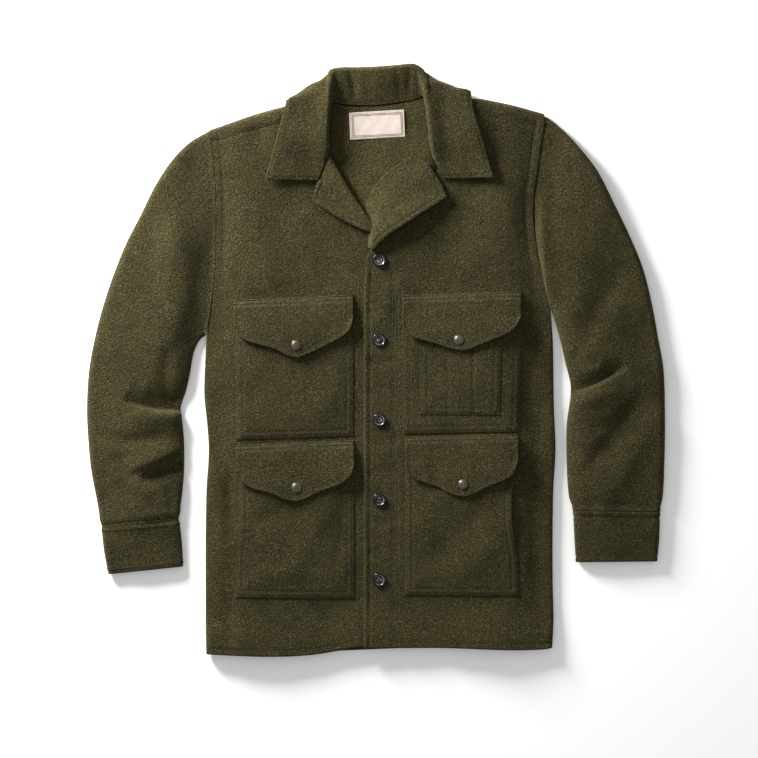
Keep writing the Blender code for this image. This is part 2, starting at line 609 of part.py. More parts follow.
def sleeve_ring(outer, inner, start, rows, crest_of):
    """Grid round a flattened sleeve: over the top from its outer edge, and back underneath."""
    inward = math.copysign(CLOTH / 2, -outer[0][0])
    outer_mid = shifted(smooth_line(outer), inward)
    inner_mid = shifted(smooth_line(inner), -inward)
    begin = start.copy()
    begin[0], begin[-1] = outer_mid[0], inner_mid[0]
    end = np.array([outer_mid[-1], inner_mid[-1]])

    def across(width, leans):
        return two_edge_columns(width, SLEEVE_ROLL, SLEEVE_ROLL_CELLS, SLEEVE_CELLS, leans)

    plan = patch(begin, end, outer_mid, inner_mid, across, rows, INNER_DELAY)
    x, y = plan[..., 0], plan[..., 1]
    chord = plan[:, -1:] - plan[:, :1]
    u = np.sum((plan - plan[:, :1]) * chord, axis=2) / np.sum(chord * chord, axis=2)
    u = np.clip(u, 0, 1)
    v = np.broadcast_to(np.asarray(rows)[:, None], x.shape)
    top = front_level(x, y) + crest_of(u, v)
    floor = back_level(x, y)
    meet = (top + floor) / 2
    radius = np.minimum(SLEEVE_ROLL, 1.6 * (top - meet))
    turn = quarter(np.minimum(distance_to(outer_mid, x, y), distance_to(inner_mid, x, y)) / radius)
    turn[:, 0] = 0.0
    turn[:, -1] = 0.0
    over = np.dstack([x, y, meet + (top - meet) * turn])
    under = np.dstack([x, y, meet - (meet - floor) * turn])
    return np.concatenate([over, under[:, -2:0:-1]], axis=1)


def sleeve_crest(u, v):
    """Height that a sleeve swells to, nearer its inner edge, falling off at both ends."""
    swell = SLEEVE_CREST * np.sin(math.pi * u ** CREST_LEAN)
    falling = rise((v - CREST_END) / (1 - CREST_END))
    return swell * rise(v / CREST_START) * (1 - CREST_LOSS * falling)


def cuff_crest(u, v):
    """Height that a cuff keeps from the sleeve's end."""
    return CUFF_CREST * np.sin(math.pi * u ** CREST_LEAN)


def add_sleeves():
    """Each sleeve, from the armhole to the cuff seam, and its cuff."""
    for side, outline in SLEEVES.items():
        armhole = ARMHOLE_RIGHT if side == "right" else ARMHOLE_LEFT
        outward = ARMHOLE_GAP if side == "right" else -ARMHOLE_GAP
        start = smooth_line(shifted(armhole, outward)[::-1])
        ring = sleeve_ring(outline["outer"], outline["inner"], start,
                           np.linspace(0, 1, SLEEVE_ROWS), sleeve_crest)
        add_wall("sleeve_" + side, ring, CLOTH, (WOOL, 0.95), ring=True)
        start = np.array([outline["cuff_outer"][0], outline["cuff_inner"][0]], float)
        ring = sleeve_ring(outline["cuff_outer"], outline["cuff_inner"], start,
                           np.linspace(0, 1, CUFF_ROWS), cuff_crest)
        add_wall("cuff_" + side, ring, CLOTH, (WOOL, 0.95), ring=True)


def between_layers(x, y, part):
    """Middle of the collar's wall: under the back (0), over a front (1) or between them."""
    front = front_left_level(x, y) if x > 0 else front_level(x, y)
    over = float(front) + CLOTH / 2 + COLLAR_GAP + COLLAR_CLOTH / 2
    under = COLLAR_CLOTH / 2
    return under + (over - under) * part


def section_points(row):
    """Points of one section of the collar, from its seam, round its roll, to its outer edge."""
    opening, seam, turn, radius, tilt, fall = row
    x, y = turn[:2]
    front = float(front_left_level(x, y) if x > 0 else front_level(x, y))
    centre = np.array([x, y, front + turn[2]])
    inward = np.array([NECK_MIDDLE[0] - x, NECK_MIDDLE[1] - y, 0.0])
    if tilt < -85:
        inward = np.array([-math.copysign(1.0, x), 0.0, 0.0])
    inward /= np.linalg.norm(inward)
    up = np.array([0.0, 0.0, 1.0])
    angle = math.radians(tilt)
    stand_side = math.cos(angle) * inward + math.sin(angle) * up
    crown = -math.sin(angle) * inward + math.cos(angle) * up
    openness = opening / 180
    turned = []
    for k in range(COLLAR_TURN_CELLS, -1, -1):
        a = math.radians(opening) * k / COLLAR_TURN_CELLS
        reach = radius * math.sin(a) + 0.6 * k * (1 - openness)
        turned.append(centre - radius * math.cos(a) * stand_side + reach * crown)
    sx, sy, part = seam
    if opening == 180:
        front = float(front_left_level(sx, sy) if sx > 0 else front_level(sx, sy))
        back = float(back_level(sx, sy))
        start = np.array([sx, sy, back + (front - back) * part])
    else:
        step = turned[0] - turned[1]
        start = turned[0] + 0.8 * step / np.linalg.norm(step)
    points = [start, *turned]
    points += [np.array([px, py, between_layers(px, py, part)]) for px, py, part in fall]
    return np.array(points)


def add_collar():
    """The collar: the stand round the back of the neck, its roll, and the fall."""
    sections = np.array([section_points(row) for row in COLLAR])
    add_wall("collar", sections, COLLAR_CLOTH, (WOOL, 0.95), squared=False)


def add_lapels():
    """The turned-back lapel of each front, which shows its facing."""
    for side, shape in LAPELS.items():
        outer = np.vstack([smooth_line(shape["lower"], 4), smooth_line(shape["upper"], 2)[1:]])
        roll = smooth_line(shape["roll"])
        bottom = np.array([roll[0], outer[0]])
        top = np.array([roll[-1], outer[-1]])
        spread = np.linspace(LAPEL_ROLL_COLUMNS[-1], 1, LAPEL_CELLS + 1)[1:]
        columns = np.concatenate([LAPEL_ROLL_COLUMNS, spread])
        upward = np.linspace(LAPEL_FOOT, 1, LAPEL_ROWS)
        plan = patch(bottom, top, roll, outer, lambda width, leans: columns, upward)
        x, y = plan[..., 0], plan[..., 1]
        away = distance_to(roll, x, y)
        opened = rise(upward / 0.6)[:, None]
        radius = shape["radius"][0] + (shape["radius"][1] - shape["radius"][0]) * opened
        drop = shape["drop"][0] + (shape["drop"][1] - shape["drop"][0]) * opened
        level = front_of(side)(x, y) + CLOTH / 2 + LAY_GAP + LAPEL_CLOTH / 2
        level = level + LAPEL_PUFF * np.exp(-(away / LAPEL_PUFF_REACH) ** 2)
        level = level - drop * (1 - quarter(away / radius))
        add_wall("lapel_" + side, np.dstack([x, y, level]), LAPEL_CLOTH, (WOOL_INSIDE, 0.95))


def lies_on(side, x, y, below, thickness):
    """Middle height of a piece that lies on a front, over the pieces that are below it."""
    lift = CLOTH / 2 + LAY_GAP + thickness / 2 + below * (POCKET_CLOTH + LAY_GAP)
    return front_of(side)(x, y) + lift


def add_pocket(name, shape, below, columns=9, rows=9):
    """A patch pocket on a front."""
    side = "left" if shape["left"][0] > 0 else "right"
    low_left = (shape["left"][1], shape["bottom"][0])
    low_right = (shape["right"][1], shape["bottom"][1])
    top_left = (shape["left"][0], shape["top"][0])
    top_right = (shape["right"][0], shape["top"][1])
    bottom, top, left, right = (np.array(ends, float) for ends in (
        (low_left, low_right), (top_left, top_right), (low_left, top_left), (low_right, top_right)))
    plan = patch(bottom, top, left, right, lambda width, leans: np.linspace(0, 1, columns),
                 np.linspace(0, 1, rows))
    x, y = plan[..., 0], plan[..., 1]
    height = lies_on(side, x, y, below, POCKET_CLOTH)
    add_wall(name, np.dstack([x, y, height]), POCKET_CLOTH, (WOOL, 0.95))


def flap_level(name, x, y, top, bottom):
    """A flap starts on the front and then runs over its pocket, with its lower edge raised."""
    side = "left" if name.endswith("left") else "right"
    depth = top - y
    layers = rise(depth / FLAP_STEP)
    if name == "flap_chest_left":
        layers = layers + rise((depth - PENCIL_TOP_DEPTH) / FLAP_STEP)
    free = rise((depth - FLAP_FREE) / np.maximum(top - bottom - FLAP_FREE, 5.0))
    level = lies_on(side, x, y, 0, POCKET_CLOTH) + layers * (POCKET_CLOTH + LAY_GAP)
    return level + FLAP_LIFT * free


def add_flap(name, rows_of_outline):
    """A pocket flap with a pointed lower edge."""
    outline = np.array(rows_of_outline, float)
    x, top, bottom = outline.T
    grid = []
    for depth, part in ((0, 0), (FLAP_STEP / 2, 0), (FLAP_STEP, 0), (FLAP_STEP, 0.35),
                        (FLAP_STEP, 0.7), (FLAP_STEP, 1)):
        y = top - depth - (top - depth - bottom) * part
        grid.append(np.stack([x, y, flap_level(name, x, y, top, bottom)], axis=1))
    add_wall(name, np.array(grid), POCKET_CLOTH, (WOOL, 0.95))


def add_turned(name, profile, place, finish, segments=16):
    """Round solid from a profile of radius and height, standing at a place."""
    points, faces = [], []
    for radius, height in profile:
        if radius == 0:
            points.append((place[0], place[1], place[2] + height))
            continue
        for k in range(segments):
            a = 2 * math.pi * k / segments
            points.append((place[0] + radius * math.cos(a), place[1] + radius * math.sin(a),
                           place[2] + height))
    rings = len(profile) - 2
    for k in range(segments):
        n = (k + 1) % segments
        faces.append((0, 1 + n, 1 + k))
        for ring in range(rings - 1):
            a = 1 + ring * segments
            b = a + segments
            faces.append((a + k, a + n, b + n, b + k))
        a = 1 + (rings - 1) * segments
        faces.append((a + k, a + n, len(points) - 1))
    if signed_volume(np.array(points), faces) < 0:
        faces = [tuple(reversed(face)) for face in faces]
    add_object(name, points, faces, finish)


def add_buttons():
    """Five buttons down the left front, each dished inside a raised rim."""
    r = BUTTON_DIAMETER / 2
    h = BUTTON_HEIGHT
    profile = [(0, 0), (r * 0.72, 0), (r * 0.96, h * 0.35), (r, h * 0.62), (r * 0.92, h),
               (r * 0.76, h * 0.96), (r * 0.66, h * 0.62), (0, h * 0.55)]
    for k in range(BUTTON_COUNT):
        x = BUTTON_X
        y = BUTTON_TOP_Y - BUTTON_SPACING * k
        z = float(front_left_level(np.array(x), np.array(y))) + CLOTH / 2 + LAY_GAP
        add_turned("button_%d" % (k + 1), profile, (x, y, z), (HORN, 0.25))


def add_snaps():
    """A domed snap cap near the point of each flap."""
    r = SNAP_DIAMETER / 2
    h = SNAP_HEIGHT
    profile = [(0, 0), (r * 0.96, 0), (r, h * 0.3), (r * 0.86, h * 0.72), (r * 0.5, h * 0.95),
               (0, h)]
    for name, (x, y) in SNAPS.items():
        flap_name = name.replace("snap", "flap")
        flap = np.array(FLAPS[flap_name], float)
        top = np.interp(x, flap[:, 0], flap[:, 1])
        bottom = np.interp(x, flap[:, 0], flap[:, 2])
        z = float(flap_level(flap_name, np.array(x), np.array(y), top, bottom))
        z += POCKET_CLOTH / 2 + LAY_GAP
        add_turned(name, profile, (x, y, z), (ANTIQUE_BRASS, 0.4, 0.9), segments=16)


def add_label():
    """The label inside the back of the neck."""
    top_right, top_left, low_left, low_right = (np.array(p, float) for p in LABEL)
    bottom = np.array([low_right, low_left])
    top = np.array([top_right, top_left])
    plan = patch(bottom, top, np.array([low_right, top_right]), np.array([low_left, top_left]),
                 lambda width, leans: np.linspace(0, 1, 5), np.linspace(0, 1, 4))
    x, y = plan[..., 0], plan[..., 1]
    height = back_level(x, y) + CLOTH / 2 + LAY_GAP + LABEL_CLOTH / 2
    add_wall("label", np.dstack([x, y, height]), LABEL_CLOTH, (LABEL_WHITE, 0.7))


def main():
    """Build every piece of the jacket."""
    for old in list(bpy.data.objects):
        bpy.data.objects.remove(old, do_unlink=True)
    add_back()
    add_fronts()
    add_sleeves()
    add_collar()
    add_lapels()
    for name, shape in POCKETS.items():
        add_pocket(name, shape, 0)
    add_pocket("pocket_pencil", PENCIL_POCKET, 1, 7, 6)
    for name, outline in FLAPS.items():
        add_flap(name, outline)
    add_buttons()
    add_snaps()
    add_label()


main()
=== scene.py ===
"""Looks of a wool mackinaw jacket that lies flat on its back.

Every cloth piece is a fine, round-edged shell on the form of its solid, with creases, seams and
sewing. Lengths are in millimetres until a mesh is made. +X is to the wearer's left, +Y towards the
collar, and the wearer's right side is on the left of the picture.
"""

import math

import bpy
import numpy as np
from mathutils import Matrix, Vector
from mathutils.bvhtree import BVHTree

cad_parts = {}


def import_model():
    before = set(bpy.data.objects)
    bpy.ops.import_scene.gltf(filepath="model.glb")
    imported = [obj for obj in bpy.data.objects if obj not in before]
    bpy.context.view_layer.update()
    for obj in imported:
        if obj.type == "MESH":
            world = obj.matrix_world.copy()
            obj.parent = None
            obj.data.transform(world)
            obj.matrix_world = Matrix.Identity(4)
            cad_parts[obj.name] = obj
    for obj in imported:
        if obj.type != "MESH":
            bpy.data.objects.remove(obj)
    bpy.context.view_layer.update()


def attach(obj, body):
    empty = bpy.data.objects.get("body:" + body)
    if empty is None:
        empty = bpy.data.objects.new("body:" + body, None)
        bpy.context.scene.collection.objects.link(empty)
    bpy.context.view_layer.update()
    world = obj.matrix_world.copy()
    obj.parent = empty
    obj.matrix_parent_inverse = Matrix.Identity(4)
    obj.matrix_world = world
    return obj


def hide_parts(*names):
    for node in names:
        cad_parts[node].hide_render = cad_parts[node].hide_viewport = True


MM = 0.001

# Cloth thicknesses, clearances and layer heights, the same as the solids have
CLOTH = 2.6
COLLAR_CLOTH = 3.2
POCKET_CLOTH = 2.0
LABEL_CLOTH = 1.0
SEAM_GAP = 0.3
LAY_GAP = 0.6
COLLAR_GAP = 1.4
ARMHOLE_GAP = -0.3
FLAT_GAP = 1.3
SIDE_RISE = 5.5
SHOULDER_RISE = 2.0
COLLAR_LIFT = 4.8
SIDE_ROLL = 8.0
SLEEVE_ROLL = 9.0
LAPEL_PUFF = {"right": 1.9, "left": 0.3}
SLEEVE_CREST = 10.5
INNER_DELAY = 1.35
OVERLAP_EDGE = 28.0
OVERLAP_RAMP = 70.0

# Size of the mesh cells of each kind of piece
FRONT_CELL = 2.6
BACK_CELL = 6.0
SLEEVE_CELL = 3.0
POCKET_CELL = 2.2
FLAP_CELL = 2.0

# Sewing
STITCH_PITCH = 3.3
STITCH_LENGTH = 2.5
THREAD = 0.55
GROOVE_DEPTH = 1.1
GROOVE_WIDTH = 1.5

# Trims
BUTTON_DIAMETER = 19.0
BUTTON_HEIGHT = 3.6
BUTTON_X = 4.5
BUTTON_TOP_Y = 139.5
BUTTON_SPACING = 112.0
BUTTON_COUNT = 5
SNAP_DIAMETER = 14.0
SNAP_HEIGHT = 2.8

CUFF_TUCK = 0.4
WRAP_ROWS = 12
LAPEL_LIFT = {"right": 3.4, "left": 10.0}
FACING_SINK = 1.6
LOWEST = 0.02
NECK_SWELL = 7.2
NECK_SWELL_START = -58.0
NECK_SWELL_WIDTH = 105.0

# Slopes of the laid cloth: down to the sides, up at the open hem, down at the cuffs' ends
SIDE_FALL = 4.5
HEM_RISE = 4.0
CUFF_CREST = 4.7
CUFF_FALL = 0.75
CUFF_DROP = 3.0
CREST_LEAN = {"right": 1.2, "left": 2.0}
CREST_START = {"right": 0.2, "left": 0.06}
LAPEL_HOLES = [(61.6, 241.6, 9.8, -15.4), (-65.7, 248.0, 2.1, -13.4)]
SEWN_SINK = 0.8

# Lifted tips of the collar, with columns: x, y, reach, height
COLLAR_TIPS = [(-155, 251, 55, 2.4), (166, 254, 60, 5.0)]

# Rows of stitches: distances from a pocket's edge, and X of the double row on the placket
POCKET_STITCHES = (2.4, 8.2)
PLACKET_STITCHES = (23.1, 28.0)

# Camera and light
CAMERA_PLACE = (0.0042, -0.0272, 6.0)
CAMERA_LENS = 203.2
KEY_PLACE = (-1.17, 1.17, 0.48)
KEY_TARGET = (0.0, 0.0, 0.0)
KEY_POWER = 112.0
KEY_SIZE = 0.5
KEY_COLOUR = (1.0, 0.985, 0.96)
FILL_COLOUR = (1.0, 1.0, 1.0, 1.0)
FILL_STRENGTH = 0.5
FLOOR_GLOW = 0.1

# Colours, in linear light: wool ground, light fleck and dark strand; facing the same
WOOL_COLOURS = ((0.0445, 0.037436, 0.01161), (0.094, 0.081175, 0.02752), (0.0068, 0.005921, 0.001806))
FACING_COLOURS = ((0.050, 0.041542, 0.01333), (0.098, 0.08404, 0.02924), (0.009, 0.007831, 0.002408))
THREAD_COLOUR = (0.030, 0.026, 0.011)
LABEL_BORDER = (0.16, 0.07, 0.025)
SHEEN = 0.12

# Lean of each button, as rise per length along X and Y
BUTTON_TILTS = [(0.03, -0.04), (-0.02, 0.03), (0.04, 0.02), (-0.03, -0.03), (0.02, 0.04)]

# Bartacks, with columns: start x and y, and run along X and Y
BARTACKS = [(-190.5, -118, 0, -11), (-190, -277, 0, -10), (185, -276, 0, -10),
            (64, 39, 8, 0), (165, 39, 8, 0)]

# Lifted places of the flaps' edges, with columns: x, y, reach, height
FLAP_LIFTS = {
    "flap_chest_right": (-36, 45, 24, 2.0),
    "flap_chest_left": (199, 52, 26, 2.6),
    "flap_lower_right": (-36, -160, 26, 2.2),
    "flap_lower_left": (192, -158, 30, 3.2),
}

# Edges of the body, from the hem upwards, with columns x, y
SIDE_RIGHT = [(-238, -413), (-239, -365), (-239, -302), (-239, -239), (-238, -183), (-235, -134),
              (-237, -92), (-241, -50), (-240, -8), (-238, 36)]
SIDE_LEFT = [(247, -404), (249, -365), (248, -302), (248, -239), (249, -183), (252, -127),
             (250, -71), (249, -8), (248, 34), (245, 72)]
ARMHOLE_RIGHT = [(-238, 36), (-233, 64), (-228, 100), (-225, 130), (-224, 176), (-224, 221),
                 (-226, 264), (-229.3, 300), (-231.3, 318)]
ARMHOLE_LEFT = [(245, 72), (237, 100), (230, 130), (222, 176), (220, 221), (225, 264),
                (232, 312), (236, 334)]
HEM_RIGHT = [(-238, -413), (-154, -416), (-94, -414), (-48, -407), (-21, -402), (28, -402)]
HEM_LEFT = [(-17, -404), (22, -404), (99, -404), (190, -407), (235, -406), (247, -404)]
CENTRE_RIGHT = [(28, -402), (28, -150), (28, 83), (25, 137), (10, 163), (0, 180), (-30, 225),
                (-52, 257), (-66, 272), (-79, 287), (-82, 320), (-88, 354)]
CENTRE_LEFT = [(-17, -404), (-17, -150), (-17, 78), (-15, 122), (-12, 146), (6, 170), (26, 192),
               (50, 219), (72, 243), (88, 272), (91, 310), (94, 367)]
SHOULDER_SEAM_RIGHT = [(-231.2, 314), (-88, 354)]
SHOULDER_SEAM_LEFT = [(236, 333), (94, 367)]
SHOULDER_EDGE = [(-231.5, 322), (-200, 333), (-169, 343.5), (-128, 354.5), (-110, 359), (-90, 362),
                 (-72, 359), (-58, 354.5), (-29, 350.5), (3, 351.5), (34, 355), (60, 362.5),
                 (76, 370), (94, 375.5), (112, 371.5), (132, 366), (150, 364.5), (190, 356.5),
                 (236, 344)]

# Outlines of the sleeves, from the armhole to the cuff, with columns x, y
SLEEVES = {
    "right": dict(
        outer=[(-231.0, 321.5), (-260, 305), (-286, 279), (-309, 244), (-330, 202), (-350, 163),
               (-368, 118), (-382, 76), (-393, 34), (-402, -15), (-405, -71), (-403, -113),
               (-399, -155), (-391, -197), (-385, -232)],
        inner=[(-239, 35), (-248, 26), (-256, 8), (-260, -16), (-266, -43), (-274, -68),
               (-272, -79), (-269, -113), (-269, -155), (-271, -183), (-276, -222)],
        cuff_outer=[(-385, -232.6), (-381, -268), (-375, -301)],
        cuff_inner=[(-276, -222.6), (-272, -256), (-270, -290)]),
    "left": dict(
        outer=[(235.5, 342.5), (258, 325), (286, 296), (311, 263), (335, 216), (357, 170),
               (374, 128), (386, 81), (396, 27), (403, -15), (405, -85), (404, -148),
               (402, -190), (398, -214)],
        inner=[(246, 71), (257, 33), (265, -3), (273, -40), (267, -92), (267, -141),
               (270, -190), (276, -212)],
        cuff_outer=[(398, -214.5), (397, -250), (394, -283)],
        cuff_inner=[(276, -212.5), (278, -250), (280, -284)]),
}

# Collar from its right end, round the back of the neck, to its left end, with columns: opening of
# its fold in degrees, seam, middle of the fold's turn, the turn's radius and tilt in degrees, and
# four points down the fall. The third number of a point is its place between the lower layer (0)
# and the upper one (1). The turn's third number is its height above the upper layer's middle.
COLLAR = [
    (0, (-79, 250.5, 1), (-85, 250.5, 1.7), 2.6, -90,
     [(-103, 250.5, 1), (-122, 251, 1), (-140, 251, 1), (-155, 251, 1)]),
    (0, (-74, 264, 1), (-80, 264, 1.8), 2.8, -90,
     [(-99, 264, 1), (-118, 264, 1), (-136, 264, 1), (-152, 264, 1)]),
    (50, (-69, 276, 1), (-75.2, 276, 2.0), 3.0, -90,
     [(-95, 276, 1), (-114, 276, 1), (-132, 276, 1), (-148.5, 276, 1)]),
    (120, (-69, 286, 1), (-72, 287, 2.8), 3.1, -90,
     [(-93, 286, 1), (-111, 286, 1), (-129, 286, 1), (-145.5, 286, 1)]),
    (180, (-73, 298, 1), (-70.5, 298, 3.4), 3.3, -90,
     [(-91, 298, 1), (-109, 298, 1), (-126, 298, 1), (-142.3, 298, 1)]),
    (180, (-73, 312, 1), (-70.5, 312, 3.4), 3.3, -88,
     [(-90, 312, 1), (-107, 312, 1), (-124, 312, 1), (-138.5, 312, 1)]),
    (180, (-73, 330, 1), (-70, 330, 3.6), 3.4, -82,
     [(-88, 331, 1), (-104, 331, 1), (-120, 331, 1), (-133.5, 330, 1)]),
    (180, (-72, 346, 1), (-69, 347, 3.8), 3.6, -72,
     [(-86, 349, 1), (-102, 349, 1), (-117, 348, 1), (-129.5, 345, 1)]),
    (180, (-70, 357, 0.8), (-67.5, 362, 4.0), 3.8, -55,
     [(-85, 365, 1), (-101, 366.5, 1), (-115, 365.5, 0.98), (-126, 359.5, 0.85)]),
    (180, (-68.5, 359, 0.65), (-67, 367, 4.1), 3.9, -46,
     [(-85, 369, 1), (-102, 370, 0.95), (-116, 367, 0.72), (-126, 361.5, 0.48)]),
    (180, (-66.5, 359.5, 0.5), (-66.5, 372, 4.2), 4.0, -37,
     [(-85, 373.5, 1), (-104, 372.5, 0.8), (-117, 367, 0.3), (-125.5, 358.5, 0.03)]),
    (180, (-64, 360, 0.4), (-66, 379, 4.0), 4.2, -24,
     [(-84, 379, 0.97), (-103, 375.5, 0.55), (-114, 365, 0.02), (-122, 343, 0)]),
    (180, (-60, 360, 0.2), (-64, 389, 2.0), 4.6, 5,
     [(-78, 387, 0.85), (-90, 384.5, 0.45), (-99, 370, 0.02), (-114, 338, 0)]),
    (180, (-56, 359.5, 0.1), (-60.5, 400.5, -0.5), 5.0, 45,
     [(-68, 396, 0.35), (-73, 387, 0.12), (-80, 371, 0), (-98, 334, 0)]),
    (180, (-46, 358, 0.1), (-48, 403.3, -0.5), 5.2, 80,
     [(-52, 390, 0.1), (-55, 379, 0.02), (-60, 362, 0), (-76, 330, 0)]),
    (180, (-25, 356.8, 0.1), (-24, 403, -0.5), 5.2, 90,
     [(-26, 390, 0.1), (-28, 378, 0.02), (-31, 358, 0), (-38, 328, 0)]),
    (180, (2, 357.2, 0.1), (2, 403.6, -0.5), 5.2, 90,
     [(2, 390, 0.1), (2, 379, 0.02), (2, 358, 0), (2, 328, 0)]),
    (180, (28, 360.4, 0.1), (28, 406, -0.5), 5.2, 90,
     [(30, 392, 0.1), (33, 381, 0.02), (36, 360, 0), (43, 330, 0)]),
    (180, (50, 364, 0.1), (50, 408, -0.5), 5.2, 80,
     [(55, 395, 0.1), (58, 384, 0.02), (64, 367, 0), (82, 333, 0)]),
    (180, (59, 366.5, 0.1), (61.5, 402, -0.5), 5.0, 45,
     [(71, 399, 0.35), (77, 391, 0.12), (85, 375, 0), (103, 338, 0)]),
    (180, (64, 369, 0.2), (67, 391, 2.0), 4.8, 5,
     [(81, 391, 0.85), (93, 386, 0.45), (102, 372, 0.02), (120, 343, 0)]),
    (180, (69, 368.5, 0.4), (69.5, 385, 4.4), 4.6, -24,
     [(88, 386, 0.97), (108, 381.5, 0.55), (119, 372, 0.02), (129, 351, 0)]),
    (180, (71, 368, 0.5), (70.5, 379, 4.6), 4.5, -37,
     [(91, 382, 1), (109, 380, 0.8), (123, 377, 0.3), (132.7, 371.5, 0.03)]),
    (180, (73, 366.5, 0.65), (71.5, 374, 4.6), 4.5, -46,
     [(91, 377.5, 1), (108, 378.5, 0.95), (122, 377.5, 0.72), (133.2, 374.8, 0.48)]),
    (180, (74, 364, 0.8), (72, 369, 4.6), 4.4, -55,
     [(92, 373, 1), (108, 375, 1), (122, 376.5, 0.98), (133, 372.5, 0.85)]),
    (180, (78, 350, 1), (75, 352, 4.6), 4.4, -72,
     [(93, 355, 1), (109, 355, 1), (124, 354, 1), (136, 352, 1)]),
    (180, (81, 334, 1), (77, 334, 4.4), 4.2, -82,
     [(95, 335, 1), (112, 335, 1), (127, 334.5, 1), (141, 334, 1)]),
    (180, (83, 315, 1), (79, 315, 4.2), 4.0, -88,
     [(97, 315, 1), (115, 315, 1), (132, 315, 1), (147, 315, 1)]),
    (180, (84.5, 300, 1), (80.5, 300, 3.8), 3.6, -90,
     [(100, 300, 1), (118, 300, 1), (136, 300, 1), (151.5, 300, 1)]),
    (120, (80, 288, 1), (83.5, 288, 2.9), 3.2, -90,
     [(103, 288, 1), (121, 288, 1), (139, 288, 1), (155, 288, 1)]),
    (50, (80, 277, 1), (87.5, 277, 2.0), 3.0, -90,
     [(106, 277, 1), (124, 277, 1), (142, 277, 1), (158.3, 277, 1)]),
    (0, (84, 266, 1), (91, 266, 1.8), 2.8, -90,
     [(110, 266, 1), (128, 266, 1), (146, 266, 1), (161.5, 266, 1)]),
    (0, (89, 253.5, 1), (96, 253.5, 1.7), 2.6, -90,
     [(114, 253.5, 1), (132, 253.5, 1), (149, 254, 1), (165, 254, 1)]),
]

# Lapels: the roll edge from the bottom up, the lower edge, the edge above the corner, and the
# radius and depth of the roll at its lower and upper ends
LAPELS = {
    "right": dict(
        roll=[(1, 181), (-29, 225), (-51, 261), (-64.5, 284)],
        lower=[(0, 175), (-38, 190.5), (-71, 209.5), (-90, 223)],
        upper=[(-90, 223), (-84, 243), (-80, 249)],
        radius=(2.7, 4.0),
        drop=(2.4, 3.0)),
    "left": dict(
        roll=[(-11, 150), (2, 176), (24, 208), (47, 237), (67, 262), (74, 274)],
        inner=[(-11, 151), (-12, 168), (-14, 190), (-14, 214), (-4, 240), (18, 264), (52, 286)],
        lower=[(-10, 147.5), (15, 173), (43, 191), (72, 210), (99, 227)],
        upper=[(99, 227), (91, 246), (87.5, 251.5)],
        radius=(2.7, 11.0),
        drop=(2.4, 7.5)),
}

# Patch pockets, with columns: side edges left and right at top and bottom, top and bottom
POCKETS = {
    "pocket_chest_right": dict(
        left=[(-195, -112), (-195.6, -20), (-196, 69)],
        right=[(-32, -107), (-31.6, -20), (-32, 77)],
        puff=1.1),
    "pocket_chest_left": dict(
        left=[(38, -104), (37.4, -10), (37, 76)],
        right=[(200, -101), (203, -10), (203, 81)],
        puff=0.5),
    "pocket_lower_right": dict(
        left=[(-197.5, -333), (-195, -275), (-192, -243), (-191.8, -175), (-193, -134)],
        right=[(-31, -335), (-30.4, -240), (-31, -127)],
        puff=1.6,
        gapes=[(-192, -225, 40, 1.6)]),
    "pocket_lower_left": dict(
        left=[(41, -330), (41.4, -240), (41, -122)],
        right=[(199.5, -331), (198.4, -285), (195, -260), (190.4, -228), (190.4, -188), (194.6, -160),
               (196, -119)],
        puff=1.7,
        gapes=[(194, -212, 42, 4.5)]),
}
PENCIL_POCKET = dict(
    left=[(62, -77), (62, -20), (62, 40)],
    right=[(173, -78), (175, -20), (176, 40)],
    dividers=(100.0, 136.0),
    puff=0.9)

# Pocket flaps, from the wearer's right to left, with columns x, top y, bottom y
FLAPS = {
    "flap_chest_right": [(-199, 83, 50), (-192, 83.4, 34), (-178, 84, 25), (-160, 84.8, 20),
                         (-142, 85.6, 15), (-126, 86.4, 6.5), (-112, 87, 2.6), (-98, 87.6, 6),
                         (-84, 88.3, 13), (-66, 89.2, 22), (-49, 90, 31), (-37, 90.6, 42),
                         (-32, 91, 58)],
    "flap_chest_left": [(37, 90, 50), (43, 90.2, 36), (52, 90.5, 31), (68, 91, 26.5),
                        (86, 91.6, 21), (102, 92.2, 15.6), (116, 92.8, 13.4), (130, 93.2, 14.2),
                        (144, 93.7, 20), (160, 94.2, 26.4), (178, 94.6, 33.4), (194, 95, 44),
                        (203, 95, 60)],
    "flap_lower_right": [(-196, -120, -150), (-191, -119.6, -168), (-178, -119, -178),
                         (-160, -118, -184), (-142, -117.2, -189), (-128, -116.4, -196),
                         (-114, -115.8, -198.4), (-100, -115.2, -195.4), (-84, -114.6, -187),
                         (-66, -114, -180.4), (-49, -113.4, -174), (-36, -113, -163),
                         (-31, -113, -148)],
    "flap_lower_left": [(41, -108, -150), (46, -107.8, -161), (55, -107.4, -168),
                        (70, -107, -173.4), (86, -106.6, -178), (100, -106.2, -186),
                        (112, -105.8, -190), (124, -105.5, -191.4), (138, -105.3, -187.6),
                        (154, -105, -179), (172, -104.7, -172), (190, -104.5, -162),
                        (199, -104.4, -140)],
}
SNAPS = {
    "snap_chest_right": (-112, 20.5),
    "snap_chest_left": (115.5, 27.7),
    "snap_lower_right": (-111.5, -178.5),
    "snap_lower_left": (121.4, -174.3),
}
NECK_MIDDLE = (2.0, 335.0)

# First and last even column of the back, and its hem
BACK_COLUMNS = (-200.0, 206.0)
BACK_HEM = [(-154, -414), (-48, -408), (99, -403), (190, -405)]
LABEL = [(-37.5, 345.5), (39.5, 350), (41, 312), (-36, 307.5)]



def rise(value):
    """Smooth step from 0 to 1."""
    value = np.clip(value, 0.0, 1.0)
    return value * value * (3.0 - 2.0 * value)


def quarter(value):
    """Height of a quarter circle, 0 at its rim and 1 from one radius inwards."""
    value = np.clip(value, 0.0, 1.0)
    return np.sqrt(1.0 - (1.0 - value) ** 2)


